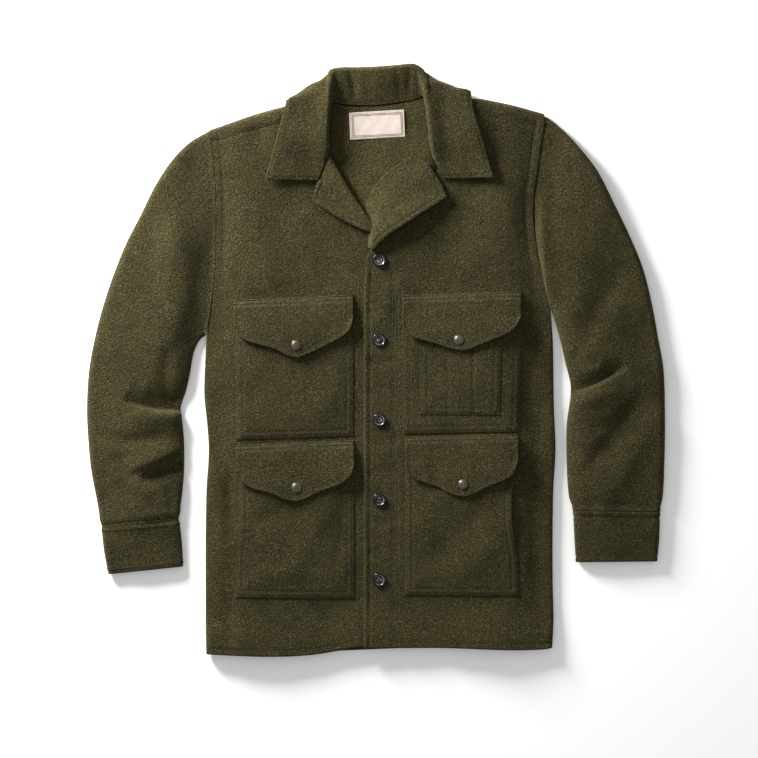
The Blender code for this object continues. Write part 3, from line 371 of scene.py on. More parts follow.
def smooth_line(points, steps=8):
    """Smooth line through the points."""
    p = np.array(points, float)
    before = np.vstack([2 * p[0] - p[1], p[:-1]])
    after = np.vstack([p[2:], 2 * p[-1] - p[-2]])
    line = [p[0]]
    for i in range(len(p) - 1):
        a, b, c, d = before[i], p[i], p[i + 1], after[i]
        span = np.linalg.norm(c - b)
        m1 = span * (c - a) / (np.linalg.norm(c - b) + np.linalg.norm(b - a))
        m2 = span * (d - b) / (np.linalg.norm(c - b) + np.linalg.norm(d - c))
        for k in range(1, steps + 1):
            t = k / steps
            line.append((2 * t**3 - 3 * t**2 + 1) * b + (t**3 - 2 * t**2 + t) * m1
                        + (3 * t**2 - 2 * t**3) * c + (t**3 - t**2) * m2)
    return np.array(line)


def along(line, fractions):
    """Points at the given fractions of a line's length."""
    reach = np.concatenate([[0.0], np.cumsum(np.linalg.norm(np.diff(line, axis=0), axis=1))])
    wanted = np.asarray(fractions) * reach[-1]
    return np.stack([np.interp(wanted, reach, line[:, k]) for k in range(line.shape[1])], axis=-1)


def shifted(points, distance):
    """The line moved sideways in plan, to the left of its direction."""
    p = np.array(points, float)
    direction = np.gradient(p, axis=0)
    direction /= np.linalg.norm(direction, axis=1)[:, None]
    return p + distance * np.stack([-direction[:, 1], direction[:, 0]], axis=1)


def distance_to(line, x, y):
    """Distance in plan from each point to a line."""
    nearest = np.full(np.shape(x), 1e9)
    for a, b in zip(line[:-1], line[1:]):
        step = b - a
        part = ((x - a[0]) * step[0] + (y - a[1]) * step[1]) / max(step @ step, 1e-9)
        part = np.clip(part, 0.0, 1.0)
        away = np.hypot(x - a[0] - part * step[0], y - a[1] - part * step[1])
        nearest = np.minimum(nearest, away)
    return nearest


def lean(line, fraction, direction):
    """How much further a line's border is crossed along a slanting direction, up to 3 times."""
    before, after = along(line, [max(fraction - 0.01, 0), min(fraction + 0.01, 1)])
    border = (after - before) / np.linalg.norm(after - before)
    across = direction / np.linalg.norm(direction)
    return min(3.0, 1 / max(abs(border[0] * across[1] - border[1] * across[0]), 1e-3))


def patch(bottom, top, left, right, across, upward, right_delay=1.0):
    """Plan grid between four lines. across(width, leans) gives the fractions from left to right."""
    ends = [bottom[0], bottom[-1], top[0], top[-1]]
    rows = []
    for v in upward:
        side_a = along(left, [v])
        side_b = along(right, [v ** right_delay])
        chord = (side_b - side_a)[0]
        leans = (lean(left, v, chord), lean(right, v ** right_delay, chord))
        u = np.asarray(across(float(np.linalg.norm(chord)), leans))[:, None]
        row = (1 - v) * along(bottom, u[:, 0]) + v * along(top, u[:, 0])
        row = row + (1 - u) * side_a + u * side_b
        row = row - (1 - u) * (1 - v) * ends[0] - u * (1 - v) * ends[1]
        row = row - (1 - u) * v * ends[2] - u * v * ends[3]
        rows.append(row)
    return np.array(rows)


# Creases in the cloth, with columns: line of points, width on the left of the line, width on its
# right, and height. A crease fades towards both ends of its line.
CREASES = [
    ([(-352, -57), (-325, -66), (-298, -70.5), (-258, -71), (-236, -70)], 17, 2.6, -9.0),
    ([(-11, 121), (8, 117), (25, 119)], 6, 4, -1.1),
    ([(-11, 46), (6, 62), (23, 84)], 8, 8, 1.1),
    ([(-11, -2), (8, -6), (25, -1)], 6, 5, -0.9),
    ([(-10, -42), (8, -46), (25, -43)], 6, 6, -0.7),
    ([(-11, -160), (8, -166), (25, -161)], 7, 6, -0.6),
    ([(-9, -268), (8, -273), (25, -266)], 7, 6, -0.6),
    ([(-350, -80), (-310, -80), (-245, -78)], 7, 16, 3.2),
    ([(-262, -30), (-270, -48), (-284, -62)], 9, 7, -3.0),
    ([(-392, -105), (-344, -114), (-296, -108)], 10, 9, -3.2),
    ([(-330, -168), (-300, -156), (-246, -136)], 5, 13, -7.5),
    ([(-350, -156), (-316, -143), (-272, -122)], 13, 6, 4.0),
    ([(-372, -150), (-340, -176), (-310, -188)], 9, 9, 1.6),
    ([(-283, -50), (-295, -25), (-287, 25)], 9, 12, -2.6),
    ([(-322, -46), (-298, -54), (-262, -60)], 14, 8, -3.0),
    ([(-232, 165), (-251, 90), (-262, 15)], 15, 13, -2.8),
    ([(-350, 160), (-372, 60), (-384, -30)], 24, 26, 1.6),
    ([(-296, 240), (-314, 150), (-322, 60)], 26, 22, -1.8),
    ([(-290, -165), (-286, -195), (-284, -232)], 7, 8, -2.0),
    ([(-334, -160), (-322, -190), (-314, -228)], 15, 16, 1.8),
    ([(-360, -120), (-352, -160), (-345, -205)], 14, 18, -1.4),
    ([(346, 135), (326, 96), (304, 56), (276, 0)], 16, 24, -4.2),
    ([(252, -52), (280, -45), (314, -31), (352, -8)], 15, 3, -8.0),
    ([(262, -66), (300, -56), (345, -40)], 7, 14, 3.0),
    ([(272, 10), (290, -4), (312, -8)], 9, 7, -3.0),
    ([(380, -40), (334, -104), (284, -172)], 20, 12, -4.4),
    ([(356, -70), (330, -90), (300, -96)], 9, 9, -2.0),
    ([(270, -120), (296, -128), (320, -150)], 8, 10, -2.4),
    ([(398, -70), (350, -152), (308, -214)], 16, 15, 2.6),
    ([(286, 130), (316, 215), (300, 300)], 20, 22, 2.2),
    ([(250, 318), (243, 223), (252, 120)], 13, 14, -3.2),
    ([(306, 110), (340, 20), (390, -60)], 20, 18, 1.8),
    ([(280, 95), (300, 60), (330, 30)], 10, 10, 1.4),
    ([(300, -190), (304, -208), (306, -232)], 9, 9, -1.4),
    ([(-216, 260), (-217, 140), (-213, 30)], 18, 16, -2.8),
    ([(-186, 312), (-134, 232), (-104, 120)], 24, 26, -3.0),
    ([(-196, 225), (-158, 150), (-140, 100)], 20, 22, 2.0),
    ([(-98, 200), (-74, 150), (-52, 100)], 20, 16, -2.0),
    ([(-216, -130), (-222, -280), (-214, -410)], 12, 14, 2.4),
    ([(-232, -95), (-208, -170), (-203, -260)], 10, 9, -2.6),
    ([(-208, -330), (-206, -370), (-212, -415)], 10, 10, -1.8),
    ([(-150, -345), (-110, -372), (-60, -405)], 18, 18, 1.1),
    ([(-96, -345), (-60, -365), (-25, -395)], 14, 14, -1.0),
    ([(224, 320), (214, 190), (226, 60)], 17, 18, -3.4),
    ([(180, 335), (134, 238), (96, 140)], 26, 24, -2.6),
    ([(90, 150), (130, 140), (190, 160)], 18, 18, 1.8),
    ([(232, -40), (217, -196), (231, -380)], 15, 14, -3.0),
    ([(208, -110), (211, -210), (208, -320)], 9, 10, 1.8),
    ([(240, 55), (215, -28), (212, -110)], 12, 12, -2.4),
    ([(48, -340), (84, -370), (110, -406)], 15, 15, 1.1),
    ([(150, -335), (176, -370), (190, -412)], 18, 18, -1.2),
    ([(-14, 115), (6, 108), (32, 112)], 7, 5, -1.0),
    ([(-14, 62), (8, 70), (34, 66)], 5, 8, -1.0),
    ([(-14, 2), (6, -4), (34, 2)], 8, 5, -0.9),
    ([(-14, -48), (8, -42), (34, -46)], 5, 8, -1.0),
    ([(-14, -112), (8, -118), (34, -110)], 8, 6, -0.9),
    ([(-14, -160), (8, -154), (34, -158)], 5, 8, -0.9),
    ([(-14, -226), (8, -230), (34, -224)], 8, 5, -0.9),
    ([(-14, -274), (8, -268), (34, -272)], 5, 8, -0.9),
]

# Creases that only the pockets have, with the same columns
POCKET_CREASES = [
    ([(-118, -305), (-92, -250), (-58, -185)], 16, 18, 2.0),
    ([(-182, -240), (-140, -215), (-98, -200)], 14, 14, -1.7),
    ([(-62, -300), (-44, -250), (-38, -200)], 10, 10, -1.4),
    ([(-180, -322), (-140, -300), (-100, -296)], 14, 14, 0.9),
    ([(56, -300), (120, -240), (176, -196)], 16, 15, -1.8),
    ([(110, -310), (150, -270), (190, -232)], 14, 16, 1.5),
    ([(52, -240), (80, -200), (110, -180)], 12, 12, 1.0),
    ([(-180, -60), (-150, -30), (-140, 10)], 16, 14, -1.0),
    ([(-90, -90), (-60, -50), (-52, 0)], 16, 14, 0.9),
    ([(60, -96), (110, -90), (180, -92)], 8, 8, 0.6),
]

# Creases across the stand of the collar, with the same columns
COLLAR_CREASES = [
    ([(-40, 408), (-33, 385), (-30, 360)], 6, 4, -2.2),
    ([(-22, 406), (-20, 385), (-18, 362)], 6, 6, 1.0),
    ([(28, 408), (32, 388), (34, 362)], 5, 5, -1.4),
    ([(46, 410), (47, 392), (44, 366)], 4, 6, -2.0),
    ([(5, 410), (4, 390), (6, 366)], 10, 10, 0.6),
]

# Slow unevenness of laid cloth, with columns: wave number along X and Y, phase, height
RIPPLES = [(0.041, 0.027, 0.4, 0.42), (-0.033, 0.052, 2.1, 0.36), (0.071, -0.046, 4.0, 0.26),
           (0.022, 0.083, 1.2, 0.24), (-0.094, -0.031, 5.3, 0.18), (0.118, 0.067, 3.3, 0.14)]


def nearest_on(line, x, y):
    """Distance to a line in plan, the side of it (1 on its left), and the part of its length."""
    length = np.concatenate([[0.0], np.cumsum(np.linalg.norm(np.diff(line, axis=0), axis=1))])
    best = np.full(np.shape(x), 1e9)
    side = np.ones(np.shape(x))
    place = np.zeros(np.shape(x))
    for k in range(len(line) - 1):
        a, step = line[k], line[k + 1] - line[k]
        size = max(float(step @ step), 1e-9)
        part = np.clip(((x - a[0]) * step[0] + (y - a[1]) * step[1]) / size, 0.0, 1.0)
        away = np.hypot(x - a[0] - part * step[0], y - a[1] - part * step[1])
        closer = away < best
        best = np.where(closer, away, best)
        turn = step[0] * (y - a[1]) - step[1] * (x - a[0])
        side = np.where(closer, np.sign(turn), side)
        place = np.where(closer, (length[k] + part * math.sqrt(size)) / length[-1], place)
    return best, side, place


def crease_height(x, y, table):
    """Sum of the creases of a table at points in plan."""
    x, y = np.asarray(x, float), np.asarray(y, float)
    total = np.zeros(x.shape)
    for points, left_width, right_width, height in table:
        line = smooth_line(points, 5)
        reach = 2.6 * max(left_width, right_width)
        low, high = line.min(axis=0) - reach, line.max(axis=0) + reach
        near = (x > low[0]) & (x < high[0]) & (y > low[1]) & (y < high[1])
        if not near.any():
            continue
        away, side, place = nearest_on(line, x[near], y[near])
        width = np.where(side > 0, left_width, right_width)
        fade = (4 * place * (1 - place)) ** 0.6
        total[near] += height * np.exp(-(away / width) ** 2) * fade
    return total


def ripple(x, y):
    """Slow unevenness of the cloth."""
    total = np.zeros(np.shape(x))
    for along_x, along_y, phase, height in RIPPLES:
        total = total + height * np.sin(along_x * x + along_y * y + phase)
    return total


def back_level(x, y):
    """Middle of the back's wall, raised over the fall of the collar that it lies on."""
    lift = COLLAR_LIFT * rise((y - 270) / 45) * rise((175 - np.abs(x)) / 40)
    return CLOTH / 2 + lift


def upper_level(x, y, swell=0.0):
    """Middle of the upper layer's wall, away from its edges, swollen by an amount."""
    floor = back_level(x, y) + CLOTH + 0.5
    level = floor - 0.5 + FLAT_GAP + swell
    level = level + SIDE_RISE * rise((np.abs(x) - 30) / 150)
    level = level - SIDE_FALL * rise((np.abs(x) - 180) / 60) * rise((290 - np.abs(x)) / 40)
    level = level + HEM_RISE * rise((-345 - y) / 60)
    level = level + SHOULDER_RISE * rise((y - 200) / 100)
    level = level + crease_height(x, y, CREASES) + ripple(x, y)
    over = level - floor
    return floor + np.where(over > 0.4, over, 0.4 * np.exp(np.minimum(over, 0.4) / 0.4 - 1))


def front_level(x, y):
    """Middle of a front's wall, away from its edges."""
    return upper_level(x, y)


def front_left_level(x, y):
    """The left front lies on the right one at the middle of the jacket."""
    return front_level(x, y) + (CLOTH + LAY_GAP) * rise((OVERLAP_EDGE + OVERLAP_RAMP - x) / OVERLAP_RAMP)


def front_of(side):
    """Height function of one front."""
    return front_left_level if side == "left" else front_level


def groove(away, depth=GROOVE_DEPTH, width=GROOVE_WIDTH):
    """Furrow that a row of stitches pulls into the cloth."""
    return -depth * np.exp(-(away / width) ** 2)


def normals_of(grid, ring):
    """Unit normals of a grid of points."""
    if ring:
        padded = np.concatenate([grid[:, -1:], grid, grid[:, :1]], axis=1)
        across = np.gradient(padded, axis=1)[:, 1:-1]
    else:
        across = np.gradient(grid, axis=1)
    normal = np.cross(across, np.gradient(grid, axis=0))
    return normal / np.maximum(np.linalg.norm(normal, axis=2), 1e-9)[:, :, None]


def border_places(rows, columns, ring):
    """Indices of the open borders of a grid, as closed loops."""
    index = np.arange(rows * columns).reshape(rows, columns)
    if ring:
        return [index[0], index[-1]]
    return [np.concatenate([index[0], index[1:, -1], index[-1, -2::-1], index[-2:0:-1, 0]])]


def make_mesh(name, points, faces, look):
    """Smooth mesh object from points in millimetres."""
    points = np.asarray(points)
    total = 0.0
    for group in faces:
        a = points[group[:, 0]]
        for k in range(1, group.shape[1] - 1):
            total += np.einsum("ij,ij->", a, np.cross(points[group[:, k]], points[group[:, k + 1]]))
    if total < 0:
        faces = [group[:, ::-1] for group in faces]
    mesh = bpy.data.meshes.new(name)
    mesh.from_pydata((points * MM).tolist(), [], [f for group in faces for f in group.tolist()])
    mesh.update()
    mesh.shade_smooth()
    mesh.set_sharp_from_angle(angle=math.radians(62))
    made = bpy.data.objects.new(name, mesh)
    bpy.context.scene.collection.objects.link(made)
    made.data.materials.append(look)
    return made


def shell(name, grid, thickness, look, rounded="", ring=False):
    """Cloth on both sides of a grid of middle points, with round edges on the named borders:
    s and e for the first and last row, f and l for the first and last column."""
    rows, columns = grid.shape[:2]
    normal = normals_of(grid, ring)
    out = np.zeros_like(grid)
    sides = {"s": (np.s_[0], np.s_[1]), "e": (np.s_[-1], np.s_[-2]),
             "f": (np.s_[:, 0], np.s_[:, 1]), "l": (np.s_[:, -1], np.s_[:, -2])}
    for letter in rounded:
        edge, inner = sides[letter]
        step = grid[edge] - grid[inner]
        step = step - np.sum(step * normal[edge], axis=1)[:, None] * normal[edge]
        out[edge] += step / np.maximum(np.linalg.norm(step, axis=1), 1e-9)[:, None]
    radius = thickness / 2
    centre = (grid - radius * out).reshape(-1, 3)
    flat_out, flat_normal = out.reshape(-1, 3), normal.reshape(-1, 3)
    under = rows * columns
    points = [centre + radius * flat_normal, centre - radius * flat_normal]
    index = np.arange(under).reshape(rows, columns)
    right = np.roll(index, -1, axis=1) if ring else index[:, 1:]
    left = index if ring else index[:, :-1]
    quads = np.stack([left[:-1], right[:-1], right[1:], left[1:]], axis=-1).reshape(-1, 4)
    faces = [quads, quads[:, ::-1] + under]
    start = 2 * under
    for number, loop in enumerate(border_places(rows, columns, ring)):
        levels = [loop]
        for turn in (45, 90, 135):
            a = math.radians(turn)
            points.append(centre[loop] + radius * (math.sin(a) * flat_out[loop]
                                                   + math.cos(a) * flat_normal[loop]))
            levels.append(start + np.arange(len(loop)))
            start += len(loop)
        levels.append(loop + under)
        for upper, lower in zip(levels[:-1], levels[1:]):
            strip = np.stack([upper, lower, np.roll(lower, -1), np.roll(upper, -1)], axis=1)
            faces.append(strip[:, ::-1] if ring and number else strip)
    points = np.concatenate(points)
    points[:, 2] = np.maximum(points[:, 2], LOWEST)
    return make_mesh(name, points, faces, look)


def place(piece, slot, *nodes):
    """Put a piece on the jacket, in the place of its solids."""
    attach(piece, "root")
    if nodes:
        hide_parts(*nodes)
    return piece


def roll_steps(radius, count):
    """Distances from a rolled edge, close together at its rim."""
    return [radius * (1 - math.cos(math.pi / 2 * k / count)) for k in range(count + 1)]


def side_seam_levels(x, y, seam, radius):
    """Heights of the upper and lower walls, rolled together along a side seam."""
    top = front_level(x, y)
    floor = back_level(x, y)
    meet = (top + floor) / 2
    turn = quarter(distance_to(seam, x, y) / radius)
    upper = meet + SEAM_GAP + (top - meet - SEAM_GAP) * turn
    lower = meet - SEAM_GAP - (meet - floor - SEAM_GAP) * turn
    return upper, lower


def body_edge(side_points, armhole_points, inward):
    """One side of the body: the side seam drawn in by half a wall, then the armhole."""
    seam = shifted(side_points, inward * CLOTH / 2)
    armhole = shifted(armhole_points, inward * ARMHOLE_GAP)
    armhole[0] = seam[-1]
    seam_line = smooth_line(seam)
    return np.vstack([seam_line, smooth_line(armhole)[1:]]), seam_line


def stitched(away, rows, edge=0.0):
    """Relief beside an edge: furrows at the rows of stitches and a full rim before the first one."""
    relief = sum(groove(away - row) for row in rows)
    rim = np.where(away < rows[0], np.sin(math.pi * np.clip(away / rows[0], 0, 1)), 0.0)
    between = np.zeros(np.shape(away))
    for first, second in zip(rows[:-1], rows[1:]):
        inside = np.clip((away - first) / (second - first), 0, 1)
        between += np.sin(math.pi * inside)
    return relief + edge * rim + 0.7 * edge * between


def front_relief(side, x, y, hem, armhole, shoulder, centre):
    """Sewing that shows on a front."""
    relief = stitched(distance_to(hem, x, y), (6.5,), 0.5)
    edge = np.exp(-(distance_to(armhole, x, y) / 9) ** 4)
    relief = relief + 0.9 * edge * rise((y - 60) / 90)
    relief = relief + groove(distance_to(armhole, x, y) - 10.5, 0.6, 2.0) * rise((y - 90) / 80)
    relief = relief + groove(distance_to(shoulder, x, y) - 8.5, 0.9)
    relief = relief + 0.9 * np.exp(-(distance_to(shoulder, x, y) / 7) ** 4)
    if side == "left":
        below_lapel = rise((128 - y) / 10)
        relief = relief + stitched(distance_to(centre, x, y), (7.7,), 0.5) * below_lapel
        relief = relief + (groove(x - PLACKET_STITCHES[0]) + groove(x - PLACKET_STITCHES[1])) * below_lapel
        for k in range(BUTTON_COUNT):
            high = BUTTON_TOP_Y - BUTTON_SPACING * k
            slit = np.exp(-((x - BUTTON_X - 12) / 10) ** 2 - ((y - high) / 1.6) ** 2)
            press = np.exp(-(np.hypot(x - BUTTON_X, y - high) / 12) ** 2)
            relief = relief - 0.5 * slit - 0.7 * press
    return relief


def make_fronts(look):
    """The two fronts, from hem to shoulder seam."""
    made = {}
    for side in ("right", "left"):
        mirror = side == "left"
        edge, seam = body_edge(*((SIDE_LEFT, ARMHOLE_LEFT, 1) if mirror
                                 else (SIDE_RIGHT, ARMHOLE_RIGHT, -1)))
        centre = smooth_line(CENTRE_LEFT if mirror else CENTRE_RIGHT)
        hem = smooth_line(HEM_LEFT[::-1] if mirror else HEM_RIGHT)
        top = smooth_line(SHOULDER_SEAM_LEFT if mirror else SHOULDER_SEAM_RIGHT)
        edge[-1] = top[0]
        hem[0] = edge[0]

        def across(width, leans):
            rolled = np.array(roll_steps(SIDE_ROLL, 6)) * leans[0] / width
            cells = int(265 / FRONT_CELL)
            return np.concatenate([rolled, np.linspace(rolled[-1], 1, cells)[1:]])

        plan = patch(hem, top, edge, centre, across, np.linspace(0, 1, int(765 / FRONT_CELL)))
        x, y = plan[..., 0], plan[..., 1]
        height = side_seam_levels(x, y, seam, SIDE_ROLL)[0]
        height = height + front_of(side)(x, y) - front_level(x, y)
        armhole = smooth_line(ARMHOLE_LEFT if mirror else ARMHOLE_RIGHT)
        height = height + front_relief(side, x, y, hem, armhole, top, centre)
        piece = shell("cloth_front_" + side, np.dstack([x, y, height]), CLOTH, look, rounded="sfl")
        made[side] = place(piece, "wool", "front_" + side)
    return made


def neck_swell(x, y):
    """Height that the back rises to inside the neck, towards the left lapel."""
    across = rise((x - NECK_SWELL_START) / NECK_SWELL_WIDTH)
    along_it = rise((y - 150) / 50) * rise((325 - y) / 50)
    roll = smooth_line(LAPELS["left"]["roll"])
    past = x - np.interp(y, roll[:, 1], roll[:, 0])
    return NECK_SWELL * across * along_it * rise((30 - past) / 30)


def make_back(look):
    """The back, turned up along the side seams and over the shoulders to the shoulder seams."""
    right_edge, right_seam = body_edge(SIDE_RIGHT, ARMHOLE_RIGHT, -1)
    left_edge, left_seam = body_edge(SIDE_LEFT, ARMHOLE_LEFT, 1)
    hem = smooth_line([right_edge[0], *BACK_HEM, left_edge[0]])
    top_line = smooth_line(SHOULDER_EDGE)
    reach = np.concatenate([[0], np.cumsum(np.linalg.norm(np.diff(top_line, axis=0), axis=1))])
    middle = np.arange(BACK_COLUMNS[0], BACK_COLUMNS[-1], BACK_CELL)
    middle = np.interp(middle, top_line[:, 0], reach) / reach[-1]
    rolled = np.array(roll_steps(SIDE_ROLL, 5)) / reach[-1]
    columns = np.concatenate([rolled, middle, 1 - rolled[::-1]])
    edge_points = along(top_line, columns)
    wrapped = rise((np.abs(edge_points[:, 0] - 4) - 72) / 18)
    level = back_level(edge_points[:, 0], edge_points[:, 1])
    front = front_level(edge_points[:, 0], edge_points[:, 1] - 10)
    radius = (front - level) / 2
    base = np.stack([edge_points[:, 0], edge_points[:, 1] - wrapped * (radius + CLOTH / 2)], axis=1)
    right_edge[-1], left_edge[-1] = base[0], base[-1]
    rows = np.linspace(0, 1, int(770 / BACK_CELL))
    plan = patch(hem, base, right_edge, left_edge, lambda width, leans: columns, rows)
    x, y = plan[..., 0], plan[..., 1]
    near = np.minimum(distance_to(right_seam, x, y), distance_to(left_seam, x, y)) < SIDE_ROLL
    rolled_up = np.where(x < 0, side_seam_levels(x, y, right_seam, SIDE_ROLL)[1],
                         side_seam_levels(x, y, left_seam, SIDE_ROLL)[1])
    height = np.where(near, rolled_up, back_level(x, y) + neck_swell(x, y))
    grid = np.dstack([x, y, height])
    seam_y = np.where(edge_points[:, 0] < 0,
                      np.interp(edge_points[:, 0], *smooth_line(SHOULDER_SEAM_RIGHT).T),
                      np.interp(edge_points[:, 0], *smooth_line(SHOULDER_SEAM_LEFT)[::-1].T))
    turned = []
    for k in range(1, WRAP_ROWS + 1):
        angle = math.pi * k / WRAP_ROWS
        out = wrapped * radius * math.sin(angle) + (1 - wrapped) * 3.0 * k / WRAP_ROWS
        up = wrapped * radius * (1 - math.cos(angle))
        turned.append(np.stack([base[:, 0], base[:, 1] + out, level + up], axis=1))
    last = turned[-1]
    for part in (0.5, 1.0):
        strip_y = last[:, 1] + wrapped * part * np.minimum(seam_y - last[:, 1], -1.0)
        strip_y = strip_y + (1 - wrapped) * 0.5 * part
        seam_z = front_level(last[:, 0], strip_y)
        strip_z = last[:, 2] + wrapped * part * (seam_z - last[:, 2])
        turned.append(np.stack([last[:, 0], strip_y, strip_z], axis=1))
    piece = shell("cloth_back", np.concatenate([grid, np.array(turned)]), CLOTH, look, rounded="sfl")
    return place(piece, "wool", "back")


def sleeve_ring(outer, inner, start, rows, cells, crest_of):
    """Grid round a flattened sleeve: over the top from its outer edge, and back underneath."""
    inward = math.copysign(CLOTH / 2, -outer[0][0])
    outer_mid = shifted(smooth_line(outer), inward)
    inner_mid = shifted(smooth_line(inner), -inward)
    begin = start.copy()
    begin[0], begin[-1] = outer_mid[0], inner_mid[0]
    end = np.array([outer_mid[-1], inner_mid[-1]])

    def across(width, leans):
        first = np.array(roll_steps(SLEEVE_ROLL, 6)) * leans[0] / width
        last = np.array(roll_steps(SLEEVE_ROLL, 6)) * leans[1] / width
        middle = np.linspace(first[-1], 1 - last[-1], cells + 1)[1:-1]
        return np.concatenate([first, middle, 1 - last[::-1]])

    plan = patch(begin, end, outer_mid, inner_mid, across, rows, INNER_DELAY)
    x, y = plan[..., 0], plan[..., 1]
    chord = plan[:, -1:] - plan[:, :1]
    u = np.sum((plan - plan[:, :1]) * chord, axis=2) / np.sum(chord * chord, axis=2)
    u = np.clip(u, 0, 1)
    v = np.broadcast_to(np.asarray(rows)[:, None], x.shape)
    top = upper_level(x, y, crest_of(u, v))
    floor = back_level(x, y)
    meet = (top + floor) / 2
    radius = np.minimum(SLEEVE_ROLL, 1.6 * (top - meet))
    turn = quarter(np.minimum(distance_to(outer_mid, x, y), distance_to(inner_mid, x, y)) / radius)
    turn[:, 0] = 0.0
    turn[:, -1] = 0.0
    over = np.dstack([x, y, meet + (top - meet) * turn])
    under = np.dstack([x, y, meet - (meet - floor) * turn])
    return np.concatenate([over, under[:, -2:0:-1]], axis=1)


def sleeve_crest(lean, starts):
    """Height that a sleeve swells to, falling off at both ends. The lean moves its top inwards."""
    def crest(u, v):
        swell = SLEEVE_CREST * np.sin(math.pi * u ** lean)
        return swell * rise(v / starts) * (1 - 0.3 * rise(v / 0.6)) * (1 - 0.4 * rise((v - 0.75) / 0.25))
    return crest


def cuff_crest(lean):
    """Height that a cuff keeps from the sleeve's end."""
    def crest(u, v):
        return CUFF_CREST * np.sin(math.pi * u ** lean) * (1 - CUFF_FALL * v) - CUFF_DROP * v
    return crest


def lengthwise(grid):
    """Distance of each point from the first row and from the last row, along its column."""
    steps = np.linalg.norm(np.diff(grid, axis=0), axis=2)
    run = np.concatenate([np.zeros((1, grid.shape[1])), np.cumsum(steps, axis=0)])
    return run, run[-1:] - run


def displaced(grid, relief, ring=False):
    """Grid moved along its normals."""
    return grid + normals_of(grid, ring) * relief[:, :, None]


def make_sleeves(look):
    """Each sleeve, from the armhole to the cuff seam, and its cuff."""
    made = {}
    for side, outline in SLEEVES.items():
        armhole = ARMHOLE_RIGHT if side == "right" else ARMHOLE_LEFT
        outward = ARMHOLE_GAP if side == "right" else -ARMHOLE_GAP
        start = smooth_line(shifted(armhole, outward)[::-1])
        rows = np.linspace(0, 1, int(440 / SLEEVE_CELL))
        ring = sleeve_ring(outline["outer"], outline["inner"], start, rows, 44,
                           sleeve_crest(CREST_LEAN[side], CREST_START[side]))
        run, left = lengthwise(ring)
        relief = -1.0 * np.exp(-(run / 4) ** 2) + 0.5 * np.exp(-(left / 3.5) ** 2)
        relief = relief - 0.8 * np.exp(-((left - 9) / 5) ** 2)
        ring = displaced(ring, relief, True)
        piece = shell("cloth_sleeve_" + side, ring, CLOTH, look, rounded="se", ring=True)
        made["sleeve_" + side] = place(piece, "wool", "sleeve_" + side)
        outer, inner = list(outline["cuff_outer"]), list(outline["cuff_inner"])
        outer[0] = (outline["outer"][-1][0], outline["outer"][-1][1] + CUFF_TUCK)
        inner[0] = (outline["inner"][-1][0], outline["inner"][-1][1] + CUFF_TUCK)
        rows = np.linspace(0, 1, 28)
        ring = sleeve_ring(outer, inner, np.array([outer[0], inner[0]], float), rows, 44,
                           cuff_crest(CREST_LEAN[side]))
        run, left = lengthwise(ring)
        relief = groove(run - 8.0, 0.8) + 0.5 * np.exp(-((run - 3.5) / 3) ** 2)
        relief = relief + 0.6 * stitched(left, (7.0,), 0.6)
        ring = displaced(ring, relief, True)
        piece = shell("cloth_cuff_" + side, ring, CLOTH, look, rounded="se", ring=True)
        made["cuff_" + side] = place(piece, "wool", "cuff_" + side)
    return made


def between_layers(x, y, part):
    """Height of the middle of the collar's wall, under the back (0), over a front (1) or between."""
    front = front_left_level(x, y) if x > 0 else front_level(x, y)
    over = float(front) + CLOTH / 2 + COLLAR_GAP + COLLAR_CLOTH / 2
    under = COLLAR_CLOTH / 2
    return under + (over - under) * part


def section_points(row):
    """Points of one section of the collar, from its seam, round its roll, to its outer edge."""
    opening, seam, turn, radius, tilt, fall = row
    x, y = turn[:2]
    front = float(front_left_level(x, y) if x > 0 else front_level(x, y))
    centre = np.array([x, y, front + turn[2]])
    inward = np.array([NECK_MIDDLE[0] - x, NECK_MIDDLE[1] - y, 0.0])
    if tilt < -85:
        inward = np.array([-math.copysign(1.0, x), 0.0, 0.0])
    inward /= np.linalg.norm(inward)
    up = np.array([0.0, 0.0, 1.0])
    angle = math.radians(tilt)
    stand_side = math.cos(angle) * inward + math.sin(angle) * up
    crown = -math.sin(angle) * inward + math.cos(angle) * up
    openness = opening / 180
    turned = []
    for k in range(4, -1, -1):
        a = math.radians(opening) * k / 4
        reach = radius * math.sin(a) + 0.6 * k * (1 - openness)
        turned.append(centre - radius * math.cos(a) * stand_side + reach * crown)
    sx, sy, part = seam
    if opening == 180:
        front = float(front_left_level(sx, sy) if sx > 0 else front_level(sx, sy))
        back = float(back_level(sx, sy))
        start = np.array([sx, sy, back + (front - back) * part])
    else:
        step = turned[0] - turned[1]
        start = turned[0] + 0.8 * step / np.linalg.norm(step)
    points = [start, *turned]
    points += [np.array([px, py, between_layers(px, py, part)]) for px, py, part in fall]
    return np.array(points)


def make_collar(look):
    """The collar: the stand round the back of the neck, its roll, and the fall."""
    sections = [smooth_line(section_points(row), 6) for row in COLLAR]
    coarse = np.array(sections)
    grid = np.stack([smooth_line(coarse[:, j], 7) for j in range(coarse.shape[1])], axis=1)
    run, left = lengthwise(grid)
    across = np.linalg.norm(np.diff(grid, axis=1), axis=2)
    to_edge = np.cumsum(across[:, ::-1], axis=1)[:, ::-1]
    to_edge = np.concatenate([to_edge, np.zeros((len(grid), 1))], axis=1)
    away = np.minimum(to_edge, np.minimum(run, left) + 400 * (to_edge > 150))
    relief = 0.55 * stitched(away, (7.5,), 0.5)
    grid = displaced(grid, relief)
    creased = crease_height(grid[..., 0], grid[..., 1], COLLAR_CREASES)
    grid[..., 2] += creased * rise((to_edge - 30) / 30)
    for x, y, reach, height in COLLAR_TIPS:
        near = np.exp(-(np.hypot(grid[..., 0] - x, grid[..., 1] - y) / reach) ** 2)
        grid[..., 2] += height * near * rise((60 - to_edge) / 60)
    piece = shell("cloth_collar", grid, COLLAR_CLOTH, look, rounded="sel")
    return place(piece, "wool", "collar")


